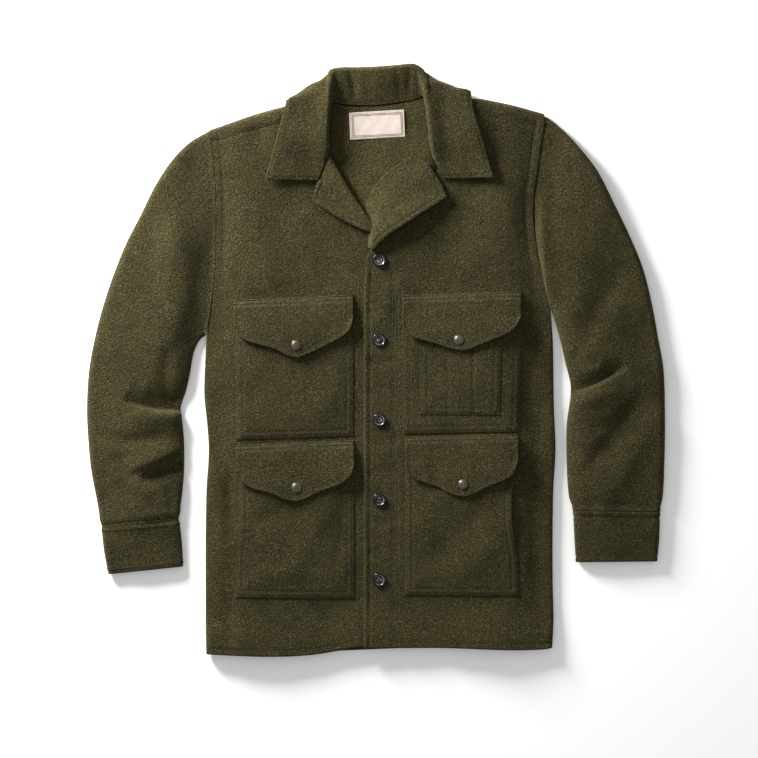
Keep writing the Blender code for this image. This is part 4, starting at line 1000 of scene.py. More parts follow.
def make_lapels(look):
    """The turned-back lapel of each front, which shows its facing."""
    made = {}
    for side, shape in LAPELS.items():
        outer = np.vstack([smooth_line(shape["lower"], 6), smooth_line(shape["upper"], 4)[1:]])
        roll = smooth_line(shape["roll"])
        bottom = np.array([roll[0], outer[0]])
        top = np.array([roll[-1], outer[-1]])
        steps = np.array([0.0, 0.008, 0.03, 0.06, 0.1, 0.15, 0.22])
        columns = np.concatenate([steps, np.linspace(steps[-1], 1, 34)[1:]])
        upward = np.linspace(0.04, 1, 96)
        plan = patch(bottom, top, roll, outer, lambda width, leans: columns, upward)
        x, y = plan[..., 0], plan[..., 1]
        away = distance_to(roll, x, y)
        opened = rise(upward / 0.6)[:, None]
        level = front_of(side)(x, y) + CLOTH / 2 + LAY_GAP + CLOTH / 2
        level = level + LAPEL_PUFF[side] * np.exp(-(away / 22) ** 2)
        free = distance_to(outer, x, y)
        swell = np.sin(math.pi * np.clip(upward, 0, 1) ** 0.8)[:, None]
        level = level + LAPEL_LIFT[side] * np.exp(-(free / 24) ** 2) * swell
        level = level + 0.55 * stitched(free, (6.0,), 0.5)
        if side == "left":
            inner = smooth_line(shape["inner"])
            parts = np.linspace(0, 1, 30)[:-1]
            inside = patch(np.array([inner[0], roll[0]]), np.array([inner[-1], roll[-1]]), inner, roll,
                           lambda width, leans: parts, upward)
            reach = np.broadcast_to((1 - parts)[None], inside.shape[:2])
            lowest = back_level(inside[..., 0], inside[..., 1]) + CLOTH - FACING_SINK * reach
            lowest = lowest + neck_swell(inside[..., 0], inside[..., 1])
            near_top = rise((upward[:, None] - 0.55) / 0.45)
            fall = 0.75 * rise(reach) + 0.25 * reach
            fall = fall * (1 - near_top) + (1 - (1 - reach) ** 3) * near_top
            inner_z = lowest + (level[:, :1] - lowest) * (1 - fall)
            plan = np.concatenate([inside, plan], axis=1)
            x, y = plan[..., 0], plan[..., 1]
            level = np.concatenate([inner_z, level], axis=1)
        else:
            radius = shape["radius"][0] + (shape["radius"][1] - shape["radius"][0]) * opened
            drop = shape["drop"][0] + (shape["drop"][1] - shape["drop"][0]) * opened
            level = level - drop * (1 - quarter(away / radius))
        piece = shell("cloth_lapel_" + side, np.dstack([x, y, level]), CLOTH, look, rounded="sefl")
        made[side] = place(piece, "wool_facing", "lapel_" + side)
    return made


def lies_on(side, x, y, below, thickness):
    """Middle height of a piece that lies on a front, over the pieces that are below it."""
    lift = CLOTH / 2 + LAY_GAP + thickness / 2 + below * (POCKET_CLOTH + LAY_GAP)
    return front_of(side)(x, y) + lift


def pocket_edges(shape):
    """Lines of a pocket's left, right, bottom and top edges."""
    left = smooth_line(shape["left"])
    right = smooth_line(shape["right"])
    return left, right, np.array([left[0], right[0]]), np.array([left[-1], right[-1]])


def make_pocket(name, shape, below, look):
    """A patch pocket on a front, sewn down along its sides and bottom."""
    side = "left" if shape["left"][0][0] > 0 else "right"
    left, right, bottom, top = pocket_edges(shape)
    width = abs(right[0][0] - left[0][0])
    height = abs(left[-1][1] - left[0][1])
    columns = np.linspace(0, 1, int(width / POCKET_CELL))
    plan = patch(bottom, top, left, right, lambda width, leans: columns,
                 np.linspace(0, 1, int(height / POCKET_CELL)))
    x, y = plan[..., 0], plan[..., 1]
    level = lies_on(side, x, y, below, POCKET_CLOTH)
    sewn = np.minimum(np.minimum(distance_to(left, x, y), distance_to(right, x, y)),
                      distance_to(bottom, x, y))
    level = level + stitched(sewn, POCKET_STITCHES, 0.6) - SEWN_SINK * np.exp(-(sewn / 6) ** 2)
    level = level + shape["puff"] * rise((sewn - 6) / 30)
    level = level + crease_height(x, y, POCKET_CREASES) * rise((sewn - 8) / 15)
    for line in shape.get("dividers", ()):
        level = level + groove(x - line) + 0.0 * y
    for x1, y1, width, gape in shape.get("gapes", ()):
        edge = np.exp(-((x - x1) / 14) ** 2 - ((y - y1) / width) ** 2)
        level = level + gape * edge
    piece = shell("cloth_" + name, np.dstack([x, y, level]), POCKET_CLOTH, look, rounded="sefl")
    return place(piece, "wool", name)


def flap_level(name, x, y, top, bottom):
    """A flap starts on the front and then runs over its pocket, with its lower edge raised."""
    side = "left" if name.endswith("left") else "right"
    depth = top - y
    layers = rise(depth / 12)
    if name == "flap_chest_left":
        layers = layers + rise((depth - 22) / 45)
    free = rise((depth - 30) / np.maximum(top - bottom - 30, 5.0))
    return lies_on(side, x, y, 0, POCKET_CLOTH) + layers * (POCKET_CLOTH + LAY_GAP) + 2.2 * free


def make_flap(name, outline, look):
    """A pocket flap with a pointed lower edge."""
    rows = smooth_line(outline, 5)
    x, top, bottom = rows.T
    count = int((top - bottom).max() / FLAP_CELL) + 4
    grid = []
    for part in np.linspace(0, 1, count):
        grid.append(np.stack([x, top - (top - bottom) * part], axis=1))
    plan = np.array(grid)
    px, py = plan[..., 0], plan[..., 1]
    level = flap_level(name, px, py, top[None], bottom[None])
    outer = np.vstack([plan[:, 0], plan[-1], plan[::-1, -1]])
    free = distance_to(outer, px, py)
    depth = top[None] - py
    level = level + stitched(depth, POCKET_STITCHES, 0.5) - SEWN_SINK * np.exp(-(depth / 6) ** 2)
    level = level + (0.35 * np.exp(-(free / 3.2) ** 2) + groove(free - 6.5, 0.35)) * rise((depth - 10) / 8)
    level = level + 1.2 * rise((free - 4) / 26) * rise((depth - 12) / 16)
    lift_x, lift_y, reach, lift = FLAP_LIFTS[name]
    level = level + lift * np.exp(-((px - lift_x) / reach) ** 2 - ((py - lift_y) / reach) ** 2)
    snap_x, snap_y = SNAPS[name.replace("flap", "snap")]
    level = level - 1.0 * np.exp(-(np.hypot(px - snap_x, py - snap_y) / 14) ** 2)
    piece = shell("cloth_" + name, np.dstack([px, py, level]), POCKET_CLOTH, look, rounded="sefl")
    return place(piece, "wool", name)


def surface_of(*pieces):
    """Finder of the topmost point of some pieces above a place in plan, in millimetres."""
    trees = []
    for piece in pieces:
        points = [v.co / MM for v in piece.data.vertices]
        trees.append(BVHTree.FromPolygons(points, [tuple(p.vertices) for p in piece.data.polygons]))

    def top_at(x, y):
        best = None
        for tree in trees:
            hit, normal, _, _ = tree.ray_cast(Vector((x, y, 200)), Vector((0, 0, -1)))
            if hit is not None and (best is None or hit.z > best[0].z):
                best = (hit, normal)
        return best

    return top_at


def capsule(sides=5):
    """Points and faces of one stitch along X, 1 long and 1 thick."""
    rings = [(-0.5, 0.0), (-0.42, 0.62), (-0.2, 0.95), (0.2, 0.95), (0.42, 0.62), (0.5, 0.0)]
    points = [(rings[0][0], 0, 0)]
    for x, r in rings[1:-1]:
        for k in range(sides):
            a = 2 * math.pi * k / sides
            points.append((x, 0.5 * r * math.cos(a), 0.5 * r * math.sin(a)))
    points.append((rings[-1][0], 0, 0))
    faces = [(0, 1 + (k + 1) % sides, 1 + k, 1 + k) for k in range(sides)]
    for ring in range(len(rings) - 3):
        for k in range(sides):
            a, b = 1 + ring * sides + k, 1 + ring * sides + (k + 1) % sides
            faces.append((a, b, b + sides, a + sides))
    end, last = len(points) - 1, 1 + (len(rings) - 3) * sides
    faces += [(last + k, last + (k + 1) % sides, end, end) for k in range(sides)]
    return np.array(points), faces


def sew(name, lines, top_at, look, slot="wool", pitch=STITCH_PITCH, length=STITCH_LENGTH,
        thread=THREAD, sink=0.1):
    """Rows of stitches along lines in plan, on the topmost cloth."""
    body, body_faces = capsule()
    points, faces, count = [], [], 0
    for line in lines:
        line = np.array(line, float)
        reach = float(np.sum(np.linalg.norm(np.diff(line, axis=0), axis=1)))
        number = max(int(reach / pitch), 1)
        for k in range(number):
            middle = (k + 0.5) / number
            half = 0.5 * length / reach
            a, b, c = along(line, [middle - half, middle, middle + half])
            found = top_at(b[0], b[1])
            if found is None:
                continue
            hit, up = np.array(found[0]), np.array(found[1])
            if up[2] < 0.15:
                continue
            forward = np.array([c[0] - a[0], c[1] - a[1], 0.0])
            forward -= up * float(forward @ up)
            forward /= max(np.linalg.norm(forward), 1e-9)
            side = np.cross(up, forward)
            spot = hit + up * (thread * 0.5 - sink)
            placed = (spot + length * body[:, :1] * forward + thread * body[:, 1:2] * side
                      + thread * body[:, 2:] * up)
            points.append(placed)
            faces.append(np.array(body_faces) + count)
            count += len(body)
    if not points:
        raise RuntimeError("no stitches in " + name)
    points = np.concatenate(points)
    faces = np.concatenate(faces)
    quads = faces[faces[:, 2] != faces[:, 3]]
    triangles = faces[faces[:, 2] == faces[:, 3]][:, :3]
    return place(make_mesh(name, points, [quads, triangles], look), slot)


class Nodes:
    """Short way to build one material's node tree."""

    def __init__(self, name):
        self.material = bpy.data.materials.new(name)
        self.material.use_nodes = True
        self.tree = self.material.node_tree
        self.shader = self.tree.nodes["Principled BSDF"]
        self.place = self.add("ShaderNodeTexCoord").outputs["Object"]

    def add(self, kind, **inputs):
        """A node with its inputs set or linked."""
        node = self.tree.nodes.new(kind)
        for key, value in inputs.items():
            self.set(node.inputs[key.replace("_", " ")], value)
        return node

    def set(self, socket, value):
        """Link a socket, or set its constant."""
        if isinstance(value, bpy.types.NodeSocket):
            self.tree.links.new(value, socket)
        else:
            socket.default_value = value

    def noise(self, scale, detail=2.0, rough=0.5, stretch=(1, 1, 1), offset=(0, 0, 0)):
        """Noise between about 0.3 and 0.7 over the piece."""
        mapping = self.add("ShaderNodeMapping", Vector=self.place, Scale=stretch, Location=offset)
        node = self.add("ShaderNodeTexNoise", Vector=mapping.outputs["Vector"], Scale=scale,
                        Detail=detail, Roughness=rough)
        return node.outputs["Fac"]

    def ramp(self, value, low, high):
        """Value moved from the range low..high to 0..1."""
        node = self.add("ShaderNodeMapRange", Value=value, From_Min=low, From_Max=high)
        return node.outputs["Result"]

    def math(self, operation, a, b=0.0):
        """One arithmetic step."""
        node = self.tree.nodes.new("ShaderNodeMath")
        node.operation = operation
        self.set(node.inputs[0], a)
        self.set(node.inputs[1], b)
        return node.outputs["Value"]

    def mix(self, part, a, b):
        """Colour between a and b."""
        node = self.tree.nodes.new("ShaderNodeMix")
        node.data_type = "RGBA"
        self.set(node.inputs["Factor"], part)
        for key, value in (("A", a), ("B", b)):
            socket = [s for s in node.inputs if s.name == key and s.type == "RGBA"][0]
            self.set(socket, value if isinstance(value, bpy.types.NodeSocket) else (*value, 1.0))
        return [s for s in node.outputs if s.type == "RGBA"][0]

    def bump(self, height, strength, distance):
        """Fine relief on the shader's normal."""
        node = self.add("ShaderNodeBump", Height=height, Strength=strength, Distance=distance)
        self.set(self.shader.inputs["Normal"], node.outputs["Normal"])


def wool_look(name, ground, fleck, dark, sheen):
    """Fulled, heathered wool with a fuzzy twill, flecks of lighter fibre and faint blotches."""
    n = Nodes(name)
    speckle = n.noise(620, 2, 0.7)
    strands = n.noise(330, 4, 0.75, (1, 2.4, 1), (3, 1, 0))
    second = n.noise(310, 4, 0.75, (2.4, 1, 1), (7, 4, 0))
    flecks = n.noise(420, 2, 0.6, (1, 1.5, 1), (11, 2, 0))
    blotch = n.noise(45, 3, 0.55, (1, 1, 1), (5, 5, 5))
    broad = n.noise(9, 2, 0.5, (1, 1, 1), (1, 8, 2))
    warm = n.noise(30, 2, 0.5, (1, 1, 1), (9, 3, 6))
    tone = n.math("ADD", n.math("MULTIPLY", n.ramp(speckle, 0.43, 0.58), 0.65),
                  n.math("MULTIPLY", n.ramp(strands, 0.42, 0.6), 0.35))
    colour = n.mix(tone, dark, ground)
    colour = n.mix(n.math("MULTIPLY", n.ramp(flecks, 0.5, 0.68), 0.9), colour, fleck)
    colour = n.mix(n.math("MULTIPLY", n.ramp(second, 0.5, 0.6), 0.7), colour, dark)
    colour = n.mix(n.math("MULTIPLY", n.ramp(blotch, 0.5, 0.7), 0.35), colour,
                   (dark[0] * 0.9, dark[1] * 1.05, dark[2] * 1.05))
    colour = n.mix(n.math("MULTIPLY", n.ramp(warm, 0.52, 0.7), 0.14), colour,
                   (ground[0] * 1.1, ground[1] * 0.98, ground[2] * 0.85))
    shade = n.add("ShaderNodeHueSaturation", Color=colour,
                  Value=n.math("ADD", 0.86, n.math("MULTIPLY", broad, 0.28)))
    n.set(n.shader.inputs["Base Color"], shade.outputs["Color"])
    n.shader.inputs["Roughness"].default_value = 0.95
    n.shader.inputs["Specular IOR Level"].default_value = 0.15
    n.shader.inputs["Sheen Weight"].default_value = sheen
    n.shader.inputs["Sheen Roughness"].default_value = 0.55
    n.shader.inputs["Sheen Tint"].default_value = (0.66, 0.60, 0.30, 1.0)
    twill = n.add("ShaderNodeTexWave", Vector=n.place, Scale=170.0, Distortion=6.0, Detail=2.0,
                  Detail_Scale=3.0)
    twill.bands_direction = "DIAGONAL"
    felt = n.noise(330, 3, 0.7, (1, 1, 1), (2, 9, 4))
    height = n.math("ADD", n.math("MULTIPLY", speckle, 0.6), n.math("MULTIPLY", felt, 1.1))
    height = n.math("ADD", height, n.math("MULTIPLY", twill.outputs["Fac"], 0.12))
    n.bump(height, 1.0, 0.0019)
    return n.material


def thread_look(name, colour):
    """Dull sewing thread."""
    n = Nodes(name)
    shade = n.ramp(n.noise(700, 1), 0.3, 0.7)
    n.set(n.shader.inputs["Base Color"],
          n.mix(shade, tuple(c * 0.7 for c in colour), tuple(c * 1.25 for c in colour)))
    n.shader.inputs["Roughness"].default_value = 0.75
    n.shader.inputs["Sheen Weight"].default_value = 0.2
    n.bump(n.noise(1800, 1), 0.4, 0.0003)
    return n.material


def button_look():
    """Polished black button with fine scratches and a hazy dark tone, and a painted highlight ring and painted
    glints on its face.
    """
    n = Nodes("black_button")
    haze = n.noise(260, 4, 0.6)
    scratch = n.noise(900, 2, 0.6, (1, 12, 1))
    generated = n.add("ShaderNodeTexCoord").outputs["Generated"]
    split = n.add("ShaderNodeSeparateXYZ", Vector=generated)
    east = n.math("SUBTRACT", split.outputs["X"], 0.5)
    north = n.math("SUBTRACT", split.outputs["Y"], 0.5)
    squares = n.math("ADD", n.math("MULTIPLY", east, east), n.math("MULTIPLY", north, north))
    radial = n.math("MULTIPLY", n.math("SQRT", squares), 2.0)
    # Pale ring round the dish, broken up by noise: a painted highlight
    ring = n.math("MULTIPLY", n.ramp(radial, 0.56, 0.64), n.ramp(radial, 0.78, 0.7))
    ring = n.math("MULTIPLY", ring, n.ramp(n.noise(120, 2), 0.36, 0.52))
    # Pale patches in the middle of the face: painted glints
    painted_centre_glint = n.math("MULTIPLY", n.ramp(radial, 0.5, 0.3), n.ramp(n.noise(230, 3), 0.5, 0.6))
    painted_highlights = n.math("MAXIMUM", n.math("MULTIPLY", ring, 0.55), painted_centre_glint)
    dark = n.mix(n.ramp(haze, 0.45, 0.7), (0.002, 0.002, 0.003), (0.009, 0.009, 0.012))
    # The base colour turns pale bluish grey where the highlights are painted
    n.set(n.shader.inputs["Base Color"], n.mix(painted_highlights, dark, (0.17, 0.18, 0.21)))
    rough = n.math("ADD", 0.14, n.math("MULTIPLY", n.ramp(scratch, 0.4, 0.75), 0.2))
    n.set(n.shader.inputs["Roughness"], rough)
    n.shader.inputs["Specular IOR Level"].default_value = 0.25
    n.shader.inputs["Coat Weight"].default_value = 0.3
    n.shader.inputs["Coat Roughness"].default_value = 0.08
    n.shader.inputs["Coat IOR"].default_value = 1.5
    n.bump(scratch, 0.12, 0.0002)
    return n.material


def metal_look():
    """Antiqued snap metal, mottled at random between bright and brown."""
    n = Nodes("antique_snap_metal")
    stain = n.noise(420, 4, 0.65)
    broad = n.noise(160, 2, 0.5, (1, 1, 1), (4, 2, 9))
    colour = n.mix(n.ramp(stain, 0.42, 0.66), (0.20, 0.18, 0.145), (0.045, 0.034, 0.024))
    colour = n.mix(n.ramp(broad, 0.4, 0.65), colour, (0.11, 0.095, 0.078))
    n.set(n.shader.inputs["Base Color"], colour)
    n.shader.inputs["Metallic"].default_value = 0.9
    rough = n.math("ADD", 0.28, n.math("MULTIPLY", n.ramp(stain, 0.35, 0.7), 0.3))
    n.set(n.shader.inputs["Roughness"], rough)
    n.bump(n.math("ADD", stain, n.noise(1500, 2)), 0.35, 0.0003)
    return n.material


def label_look():
    """Cream woven label with a brown border and faint stains."""
    n = Nodes("label_weave")
    across = n.noise(700, 2, 0.6, (1, 4, 1))
    down = n.noise(700, 2, 0.6, (4, 1, 1), (2, 5, 1))
    weave = n.math("ADD", across, down)
    stain = n.noise(60, 3, 0.6)
    colour = n.mix(n.ramp(weave, 0.8, 1.2), (0.43, 0.375, 0.33), (0.52, 0.46, 0.41))
    colour = n.mix(n.math("MULTIPLY", n.ramp(stain, 0.5, 0.72), 0.4), colour, (0.36, 0.25, 0.17))
    n.set(n.shader.inputs["Base Color"], colour)
    n.shader.inputs["Roughness"].default_value = 0.7
    n.shader.inputs["Sheen Weight"].default_value = 0.2
    n.bump(weave, 0.4, 0.0004)
    return n.material


def floor_look():
    """Matt white floor."""
    n = Nodes("floor_white")
    shade = n.noise(3, 2, 0.5)
    n.set(n.shader.inputs["Base Color"], n.mix(shade, (0.93, 0.93, 0.93), (0.95, 0.95, 0.95)))
    n.shader.inputs["Roughness"].default_value = 0.9
    n.shader.inputs["Specular IOR Level"].default_value = 0.1
    n.shader.inputs["Emission Color"].default_value = (1.0, 1.0, 1.0, 1.0)
    n.shader.inputs["Emission Strength"].default_value = FLOOR_GLOW
    return n.material


def turned(name, profile, spot, look, segments=48, tilt=(0.0, 0.0)):
    """Round piece from a profile of radius and height, standing at a spot, leaning by the tilt."""
    points, faces = [], []
    ring_start = []
    for radius, height in profile:
        ring_start.append(len(points))
        steps = 1 if radius == 0 else segments
        for k in range(steps):
            a = 2 * math.pi * k / segments
            x, y = radius * math.cos(a), radius * math.sin(a)
            points.append((spot[0] + x, spot[1] + y, spot[2] + height + tilt[0] * x + tilt[1] * y))
    quads, triangles = [], []
    for k in range(segments):
        n = (k + 1) % segments
        triangles.append((ring_start[0], ring_start[1] + n, ring_start[1] + k))
        triangles.append((ring_start[-2] + k, ring_start[-2] + n, ring_start[-1]))
        for a, b in zip(ring_start[1:-2], ring_start[2:-1]):
            quads.append((a + k, a + n, b + n, b + k))
    return make_mesh(name, points, [np.array(quads), np.array(triangles)], look)


def make_buttons(top_at, look, thread):
    """Five dished buttons with a raised rim, sewn on through four holes."""
    r, h = BUTTON_DIAMETER / 2, BUTTON_HEIGHT
    profile = [(0, 0), (r * 0.6, 0), (r * 0.8, h * 0.1), (r * 0.93, h * 0.3), (r * 0.985, h * 0.5),
               (r, h * 0.62), (r * 0.99, h * 0.76), (r * 0.965, h * 0.88), (r * 0.93, h * 0.96),
               (r * 0.885, h), (r * 0.84, h * 0.985), (r * 0.79, h * 0.93), (r * 0.74, h * 0.83),
               (r * 0.7, h * 0.73), (r * 0.64, h * 0.66), (r * 0.5, h * 0.6), (r * 0.3, h * 0.56),
               (r * 0.12, h * 0.55), (0, h * 0.55)]
    made, seats = [], []
    for k in range(BUTTON_COUNT):
        x, y = BUTTON_X, BUTTON_TOP_Y - BUTTON_SPACING * k
        found = top_at(x + r * 0.5, y)[0].z, top_at(x - r * 0.5, y)[0].z, top_at(x, y)[0].z
        z = max(found) + 0.15
        button = turned("button_piece_%d" % (k + 1), profile, (x, y, z), look, 64, BUTTON_TILTS[k])
        made.append(place(button, "horn", "button_%d" % (k + 1)))
        seats.append((x, y, z + h * 0.55))
    body, body_faces = capsule(8)
    points, faces, count = [], [], 0
    for x, y, z in seats:
        for hole_x, hole_y in ((-1.6, -1.6), (1.6, -1.6), (-1.6, 1.6), (1.6, 1.6)):
            points.append(np.array([x + hole_x, y + hole_y, z]) + body * (1.5, 1.5, 0.5))
            faces.append(np.array(body_faces) + count)
            count += len(body)
        for hole_y in (-1.6, 1.6):
            for shift in (-0.35, 0.35):
                points.append(np.array([x, y + hole_y + shift, z + 0.45]) + body * (3.6, 0.6, 0.6))
                faces.append(np.array(body_faces) + count)
                count += len(body)
    faces = np.concatenate(faces)
    quads = faces[faces[:, 2] != faces[:, 3]]
    triangles = faces[faces[:, 2] == faces[:, 3]][:, :3]
    place(make_mesh("button_threads", np.concatenate(points), [quads, triangles], thread), "horn")
    return made


def make_snaps(top_at, look):
    """A plain domed snap cap on each flap, with a rolled rim and a low ring round its dome."""
    r, h = SNAP_DIAMETER / 2, SNAP_HEIGHT
    profile = [(0, 0), (r * 0.8, 0), (r * 0.93, h * 0.05), (r * 0.99, h * 0.15), (r, h * 0.28),
               (r * 0.985, h * 0.4), (r * 0.94, h * 0.5), (r * 0.88, h * 0.53), (r * 0.82, h * 0.5),
               (r * 0.78, h * 0.5), (r * 0.72, h * 0.62), (r * 0.62, h * 0.78), (r * 0.5, h * 0.9),
               (r * 0.36, h * 0.965), (r * 0.2, h * 0.995), (0, h)]
    for name, (x, y) in SNAPS.items():
        level = [top_at(x + dx, y + dy)[0].z for dx, dy in ((-4, 0), (4, 0), (0, -4), (0, 4), (0, 0))]
        tilt = ((level[1] - level[0]) / 8, (level[3] - level[2]) / 8)
        cap = turned("cap_" + name, profile, (x, y, np.mean(level) - 0.2), look, 48, tilt)
        place(cap, "snap_metal", name)


def make_label(top_at, look, border):
    """The label inside the back of the neck: bare cloth with a woven border, sewn down."""
    top_right, top_left, low_left, low_right = (np.array(p, float) for p in LABEL)
    plan = patch(np.array([low_right, low_left]), np.array([top_right, top_left]),
                 np.array([low_right, top_right]), np.array([low_left, top_left]),
                 lambda width, leans: np.linspace(0, 1, 70), np.linspace(0, 1, 36))
    x, y = plan[..., 0], plan[..., 1]
    level = back_level(x, y) + CLOTH / 2 + LAY_GAP + LABEL_CLOTH / 2
    level = level + 0.1 * np.sin(0.16 * x + 0.1 * y) + 0.06 * np.sin(0.31 * x - 0.22 * y + 1.0)
    piece = shell("cloth_label", np.dstack([x, y, level]), LABEL_CLOTH, look, rounded="sefl")
    place(piece, "label_cloth", "label")
    corners = [top_right, top_left, low_left, low_right]
    middle = sum(corners) / 4
    on_label = surface_of(piece)
    loops = []
    for inset in (0.91, 0.86):
        line = [middle + (corner - middle) * (inset, 1 - (1 - inset) * 1.9) for corner in corners]
        loops.append([*line, line[0]])
    sew("label_border", loops, on_label, border, "label_cloth", 1.15, 1.3, 0.7, 0.25)
    edge = [middle + (corner - middle) * (0.975, 0.95) for corner in corners]
    sew("label_stitches", [[*edge, edge[0]]], on_label, border, "label_cloth", 2.6, 1.7, 0.4, 0.05)
    return piece


def ladder(x, y, dx, dy, width, count):
    """Short parallel stitches across a line from (x, y) along (dx, dy)."""
    length = math.hypot(dx, dy)
    side = np.array([-dy, dx]) / length * width / 2
    lines = []
    for k in range(count):
        spot = np.array([x, y]) + np.array([dx, dy]) * k / (count - 1)
        lines.append([spot - side, spot + side])
    return lines


def shifted_line(points, distance, start=0.0, end=1.0, steps=60):
    """Part of a line, moved to its left."""
    line = smooth_line(points)
    return along(shifted(along(line, np.linspace(0, 1, steps)), distance), np.linspace(start, end, steps))


def sew_all(made, thread):
    """Every row of stitches that shows."""
    fronts = surface_of(made["front_right"], made["front_left"])
    hem_rows = [shifted_line(HEM_RIGHT, 6.5, 0.02, 0.84), shifted_line(HEM_LEFT, 6.5, 0.03, 0.98)]
    placket = [shifted_line(CENTRE_LEFT, 7.7, 0.01, 0.66)]
    placket += [[(x, -399), (x, 116)] for x in PLACKET_STITCHES]
    shoulders = [shifted_line(SHOULDER_SEAM_RIGHT, -7.5, 0.03, 0.9),
                 shifted_line(SHOULDER_SEAM_LEFT, 7.5, 0.03, 0.9)]
    armholes = [shifted_line(ARMHOLE_RIGHT, -10.5, 0.42, 0.97), shifted_line(ARMHOLE_LEFT, 10.5, 0.42, 0.97)]
    sew("front_stitches", hem_rows + placket + shoulders + armholes, fronts, thread)
    slits = []
    for k in range(BUTTON_COUNT):
        y = BUTTON_TOP_Y - BUTTON_SPACING * k
        for row in (-1.1, 1.1):
            slits += ladder(BUTTON_X + 4, y + row, 17, 0, 2.0, 19)
        slits += ladder(BUTTON_X + 21.5, y - 2.2, 0, 4.4, 2.6, 5)
    for x, y, dx, dy in LAPEL_HOLES:
        for row in (-1.0, 1.0):
            slits += ladder(x + row, y, dx, dy, 1.8, 15)
        slits += ladder(x + dx - 1.3, y + dy - 0.4, 2.6, 0.8, 1.8, 5)
    for x, y, dx, dy in BARTACKS:
        slits += ladder(x, y, dx, dy, 2.6, 9)
    every = surface_of(*made.values())
    sew("buttonhole_stitches", slits, every, thread, pitch=9.0, length=2.2, thread=0.6)
    rows = []
    for name, shape in POCKETS.items():
        left, right, bottom, top = pocket_edges(shape)
        for inset in POCKET_STITCHES:
            rows.append(along(shifted(along(left, np.linspace(0, 1, 40)), -inset), np.linspace(0.01, 1, 40)))
            rows.append(along(shifted(along(right, np.linspace(0, 1, 40)), inset), np.linspace(0.01, 1, 40)))
            rows.append(along(shifted(along(bottom, np.linspace(0, 1, 40)), inset), np.linspace(0.03, 0.97, 40)))
    pockets = surface_of(*(made[name] for name in POCKETS))
    sew("pocket_stitches", rows, pockets, thread)
    left, right, bottom, top = pocket_edges(PENCIL_POCKET)
    rows = [[(x, bottom[0][1] + 2), (x, top[0][1])] for x in PENCIL_POCKET["dividers"]]
    for inset in POCKET_STITCHES:
        rows.append(along(shifted(along(left, np.linspace(0, 1, 20)), -inset), np.linspace(0.02, 1, 20)))
        rows.append(along(shifted(along(right, np.linspace(0, 1, 20)), inset), np.linspace(0.02, 1, 20)))
        rows.append(along(shifted(along(bottom, np.linspace(0, 1, 20)), inset), np.linspace(0.03, 0.97, 20)))
    sew("pencil_pocket_stitches", rows, surface_of(made["pocket_pencil"]), thread)
    rows = []
    for outline in FLAPS.values():
        line = np.array(outline, float)
        for inset in POCKET_STITCHES:
            rows.append(np.stack([line[1:-1, 0], line[1:-1, 1] - inset], axis=1))
        outer = np.vstack([[line[0, 0], line[0, 1] - 10], line[:, (0, 2)],
                           [line[-1, 0], line[-1, 1] - 10]])
        rows.append(along(shifted(along(smooth_line(outer), np.linspace(0, 1, 120)), 6.5),
                          np.linspace(0.03, 0.97, 100)))
    flaps = surface_of(*(made[name] for name in FLAPS))
    sew("flap_stitches", rows, flaps, thread)
    rows = []
    for side, shape in LAPELS.items():
        outer = np.vstack([smooth_line(shape["lower"], 6), smooth_line(shape["upper"], 4)[1:]])
        turn = 6.0 if side == "left" else -6.0
        rows.append(along(shifted(along(outer, np.linspace(0, 1, 80)), turn), np.linspace(0.12, 0.95, 80)))
    sew("lapel_stitches", rows, surface_of(made["lapel_right"], made["lapel_left"]), thread)
    rows = []
    for side, outline in SLEEVES.items():
        start = np.array([outline["outer"][-1], outline["inner"][-1]], float)
        end = np.array([outline["cuff_outer"][-1], outline["cuff_inner"][-1]], float)
        for line, offset in ((start, 8.0), (end, -7.0)):
            down = (end - start).mean(axis=0)
            down /= np.linalg.norm(down)
            rows.append(along(line + down * offset, np.linspace(0.04, 0.96, 30)))
    sew("cuff_stitches", rows, surface_of(made["cuff_right"], made["cuff_left"]), thread)


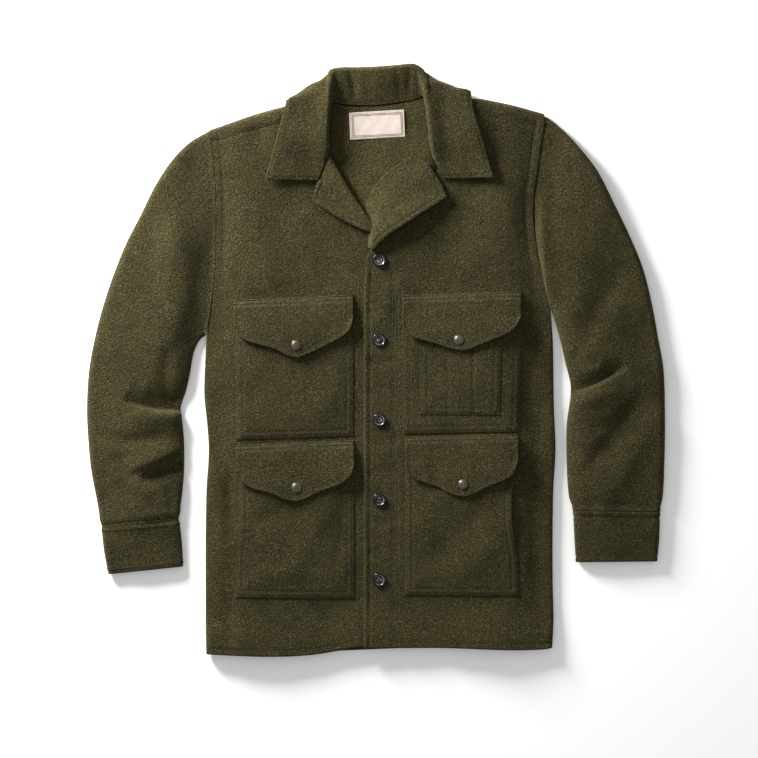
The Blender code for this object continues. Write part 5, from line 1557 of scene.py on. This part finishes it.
def add_camera():
    """Camera straight above, with the collar at the top of the picture."""
    camera = bpy.data.objects.new("camera", bpy.data.cameras.new("camera"))
    camera.location = CAMERA_PLACE
    camera.data.sensor_width = 36.0
    camera.data.lens = CAMERA_LENS
    camera.data.clip_end = 50.0
    bpy.context.scene.collection.objects.link(camera)
    bpy.context.scene.camera = camera


def add_light():
    """Low soft key from the upper left of the picture, over an even fill."""
    lamp = bpy.data.lights.new("key", "AREA")
    lamp.energy = KEY_POWER
    lamp.size = KEY_SIZE
    lamp.color = KEY_COLOUR
    key = bpy.data.objects.new("key", lamp)
    key.location = KEY_PLACE
    key.rotation_euler = (Vector(KEY_TARGET) - Vector(KEY_PLACE)).to_track_quat("-Z", "Y").to_euler()
    bpy.context.scene.collection.objects.link(key)
    world = bpy.data.worlds.new("studio")
    world.use_nodes = True
    background = world.node_tree.nodes["Background"]
    background.inputs["Color"].default_value = FILL_COLOUR
    background.inputs["Strength"].default_value = FILL_STRENGTH
    bpy.context.scene.world = world
    bpy.context.scene.view_settings.view_transform = "Standard"


def add_floor(look):
    """White floor under the jacket."""
    half = 6000.0
    corners = [(-half, -half, -0.5), (half, -half, -0.5), (half, half, -0.5), (-half, half, -0.5)]
    floor = make_mesh("floor", corners, [np.array([[0, 1, 2, 3]])], look)


def main():
    """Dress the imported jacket."""
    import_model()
    wool = wool_look("olive_wool", *WOOL_COLOURS, SHEEN)
    facing = wool_look("olive_wool_facing", *FACING_COLOURS, SHEEN)
    thread = thread_look("olive_thread", THREAD_COLOUR)
    made = {"back": make_back(facing), "collar": make_collar(wool)}
    for side, piece in make_fronts(wool).items():
        made["front_" + side] = piece
    made.update(make_sleeves(wool))
    for side, piece in make_lapels(facing).items():
        made["lapel_" + side] = piece
    for name, shape in POCKETS.items():
        made[name] = make_pocket(name, shape, 0, wool)
    made["pocket_pencil"] = make_pocket("pocket_pencil", PENCIL_POCKET, 1, wool)
    for name, outline in FLAPS.items():
        made[name] = make_flap(name, outline, wool)
    sew_all(made, thread)
    make_buttons(surface_of(made["front_left"]), button_look(), thread)
    make_snaps(surface_of(*(made[name] for name in FLAPS)), metal_look())
    label = make_label(None, label_look(), thread_look("label_brown", LABEL_BORDER))
    made["label"] = label
    add_floor(floor_look())
    add_camera()
    add_light()


main()
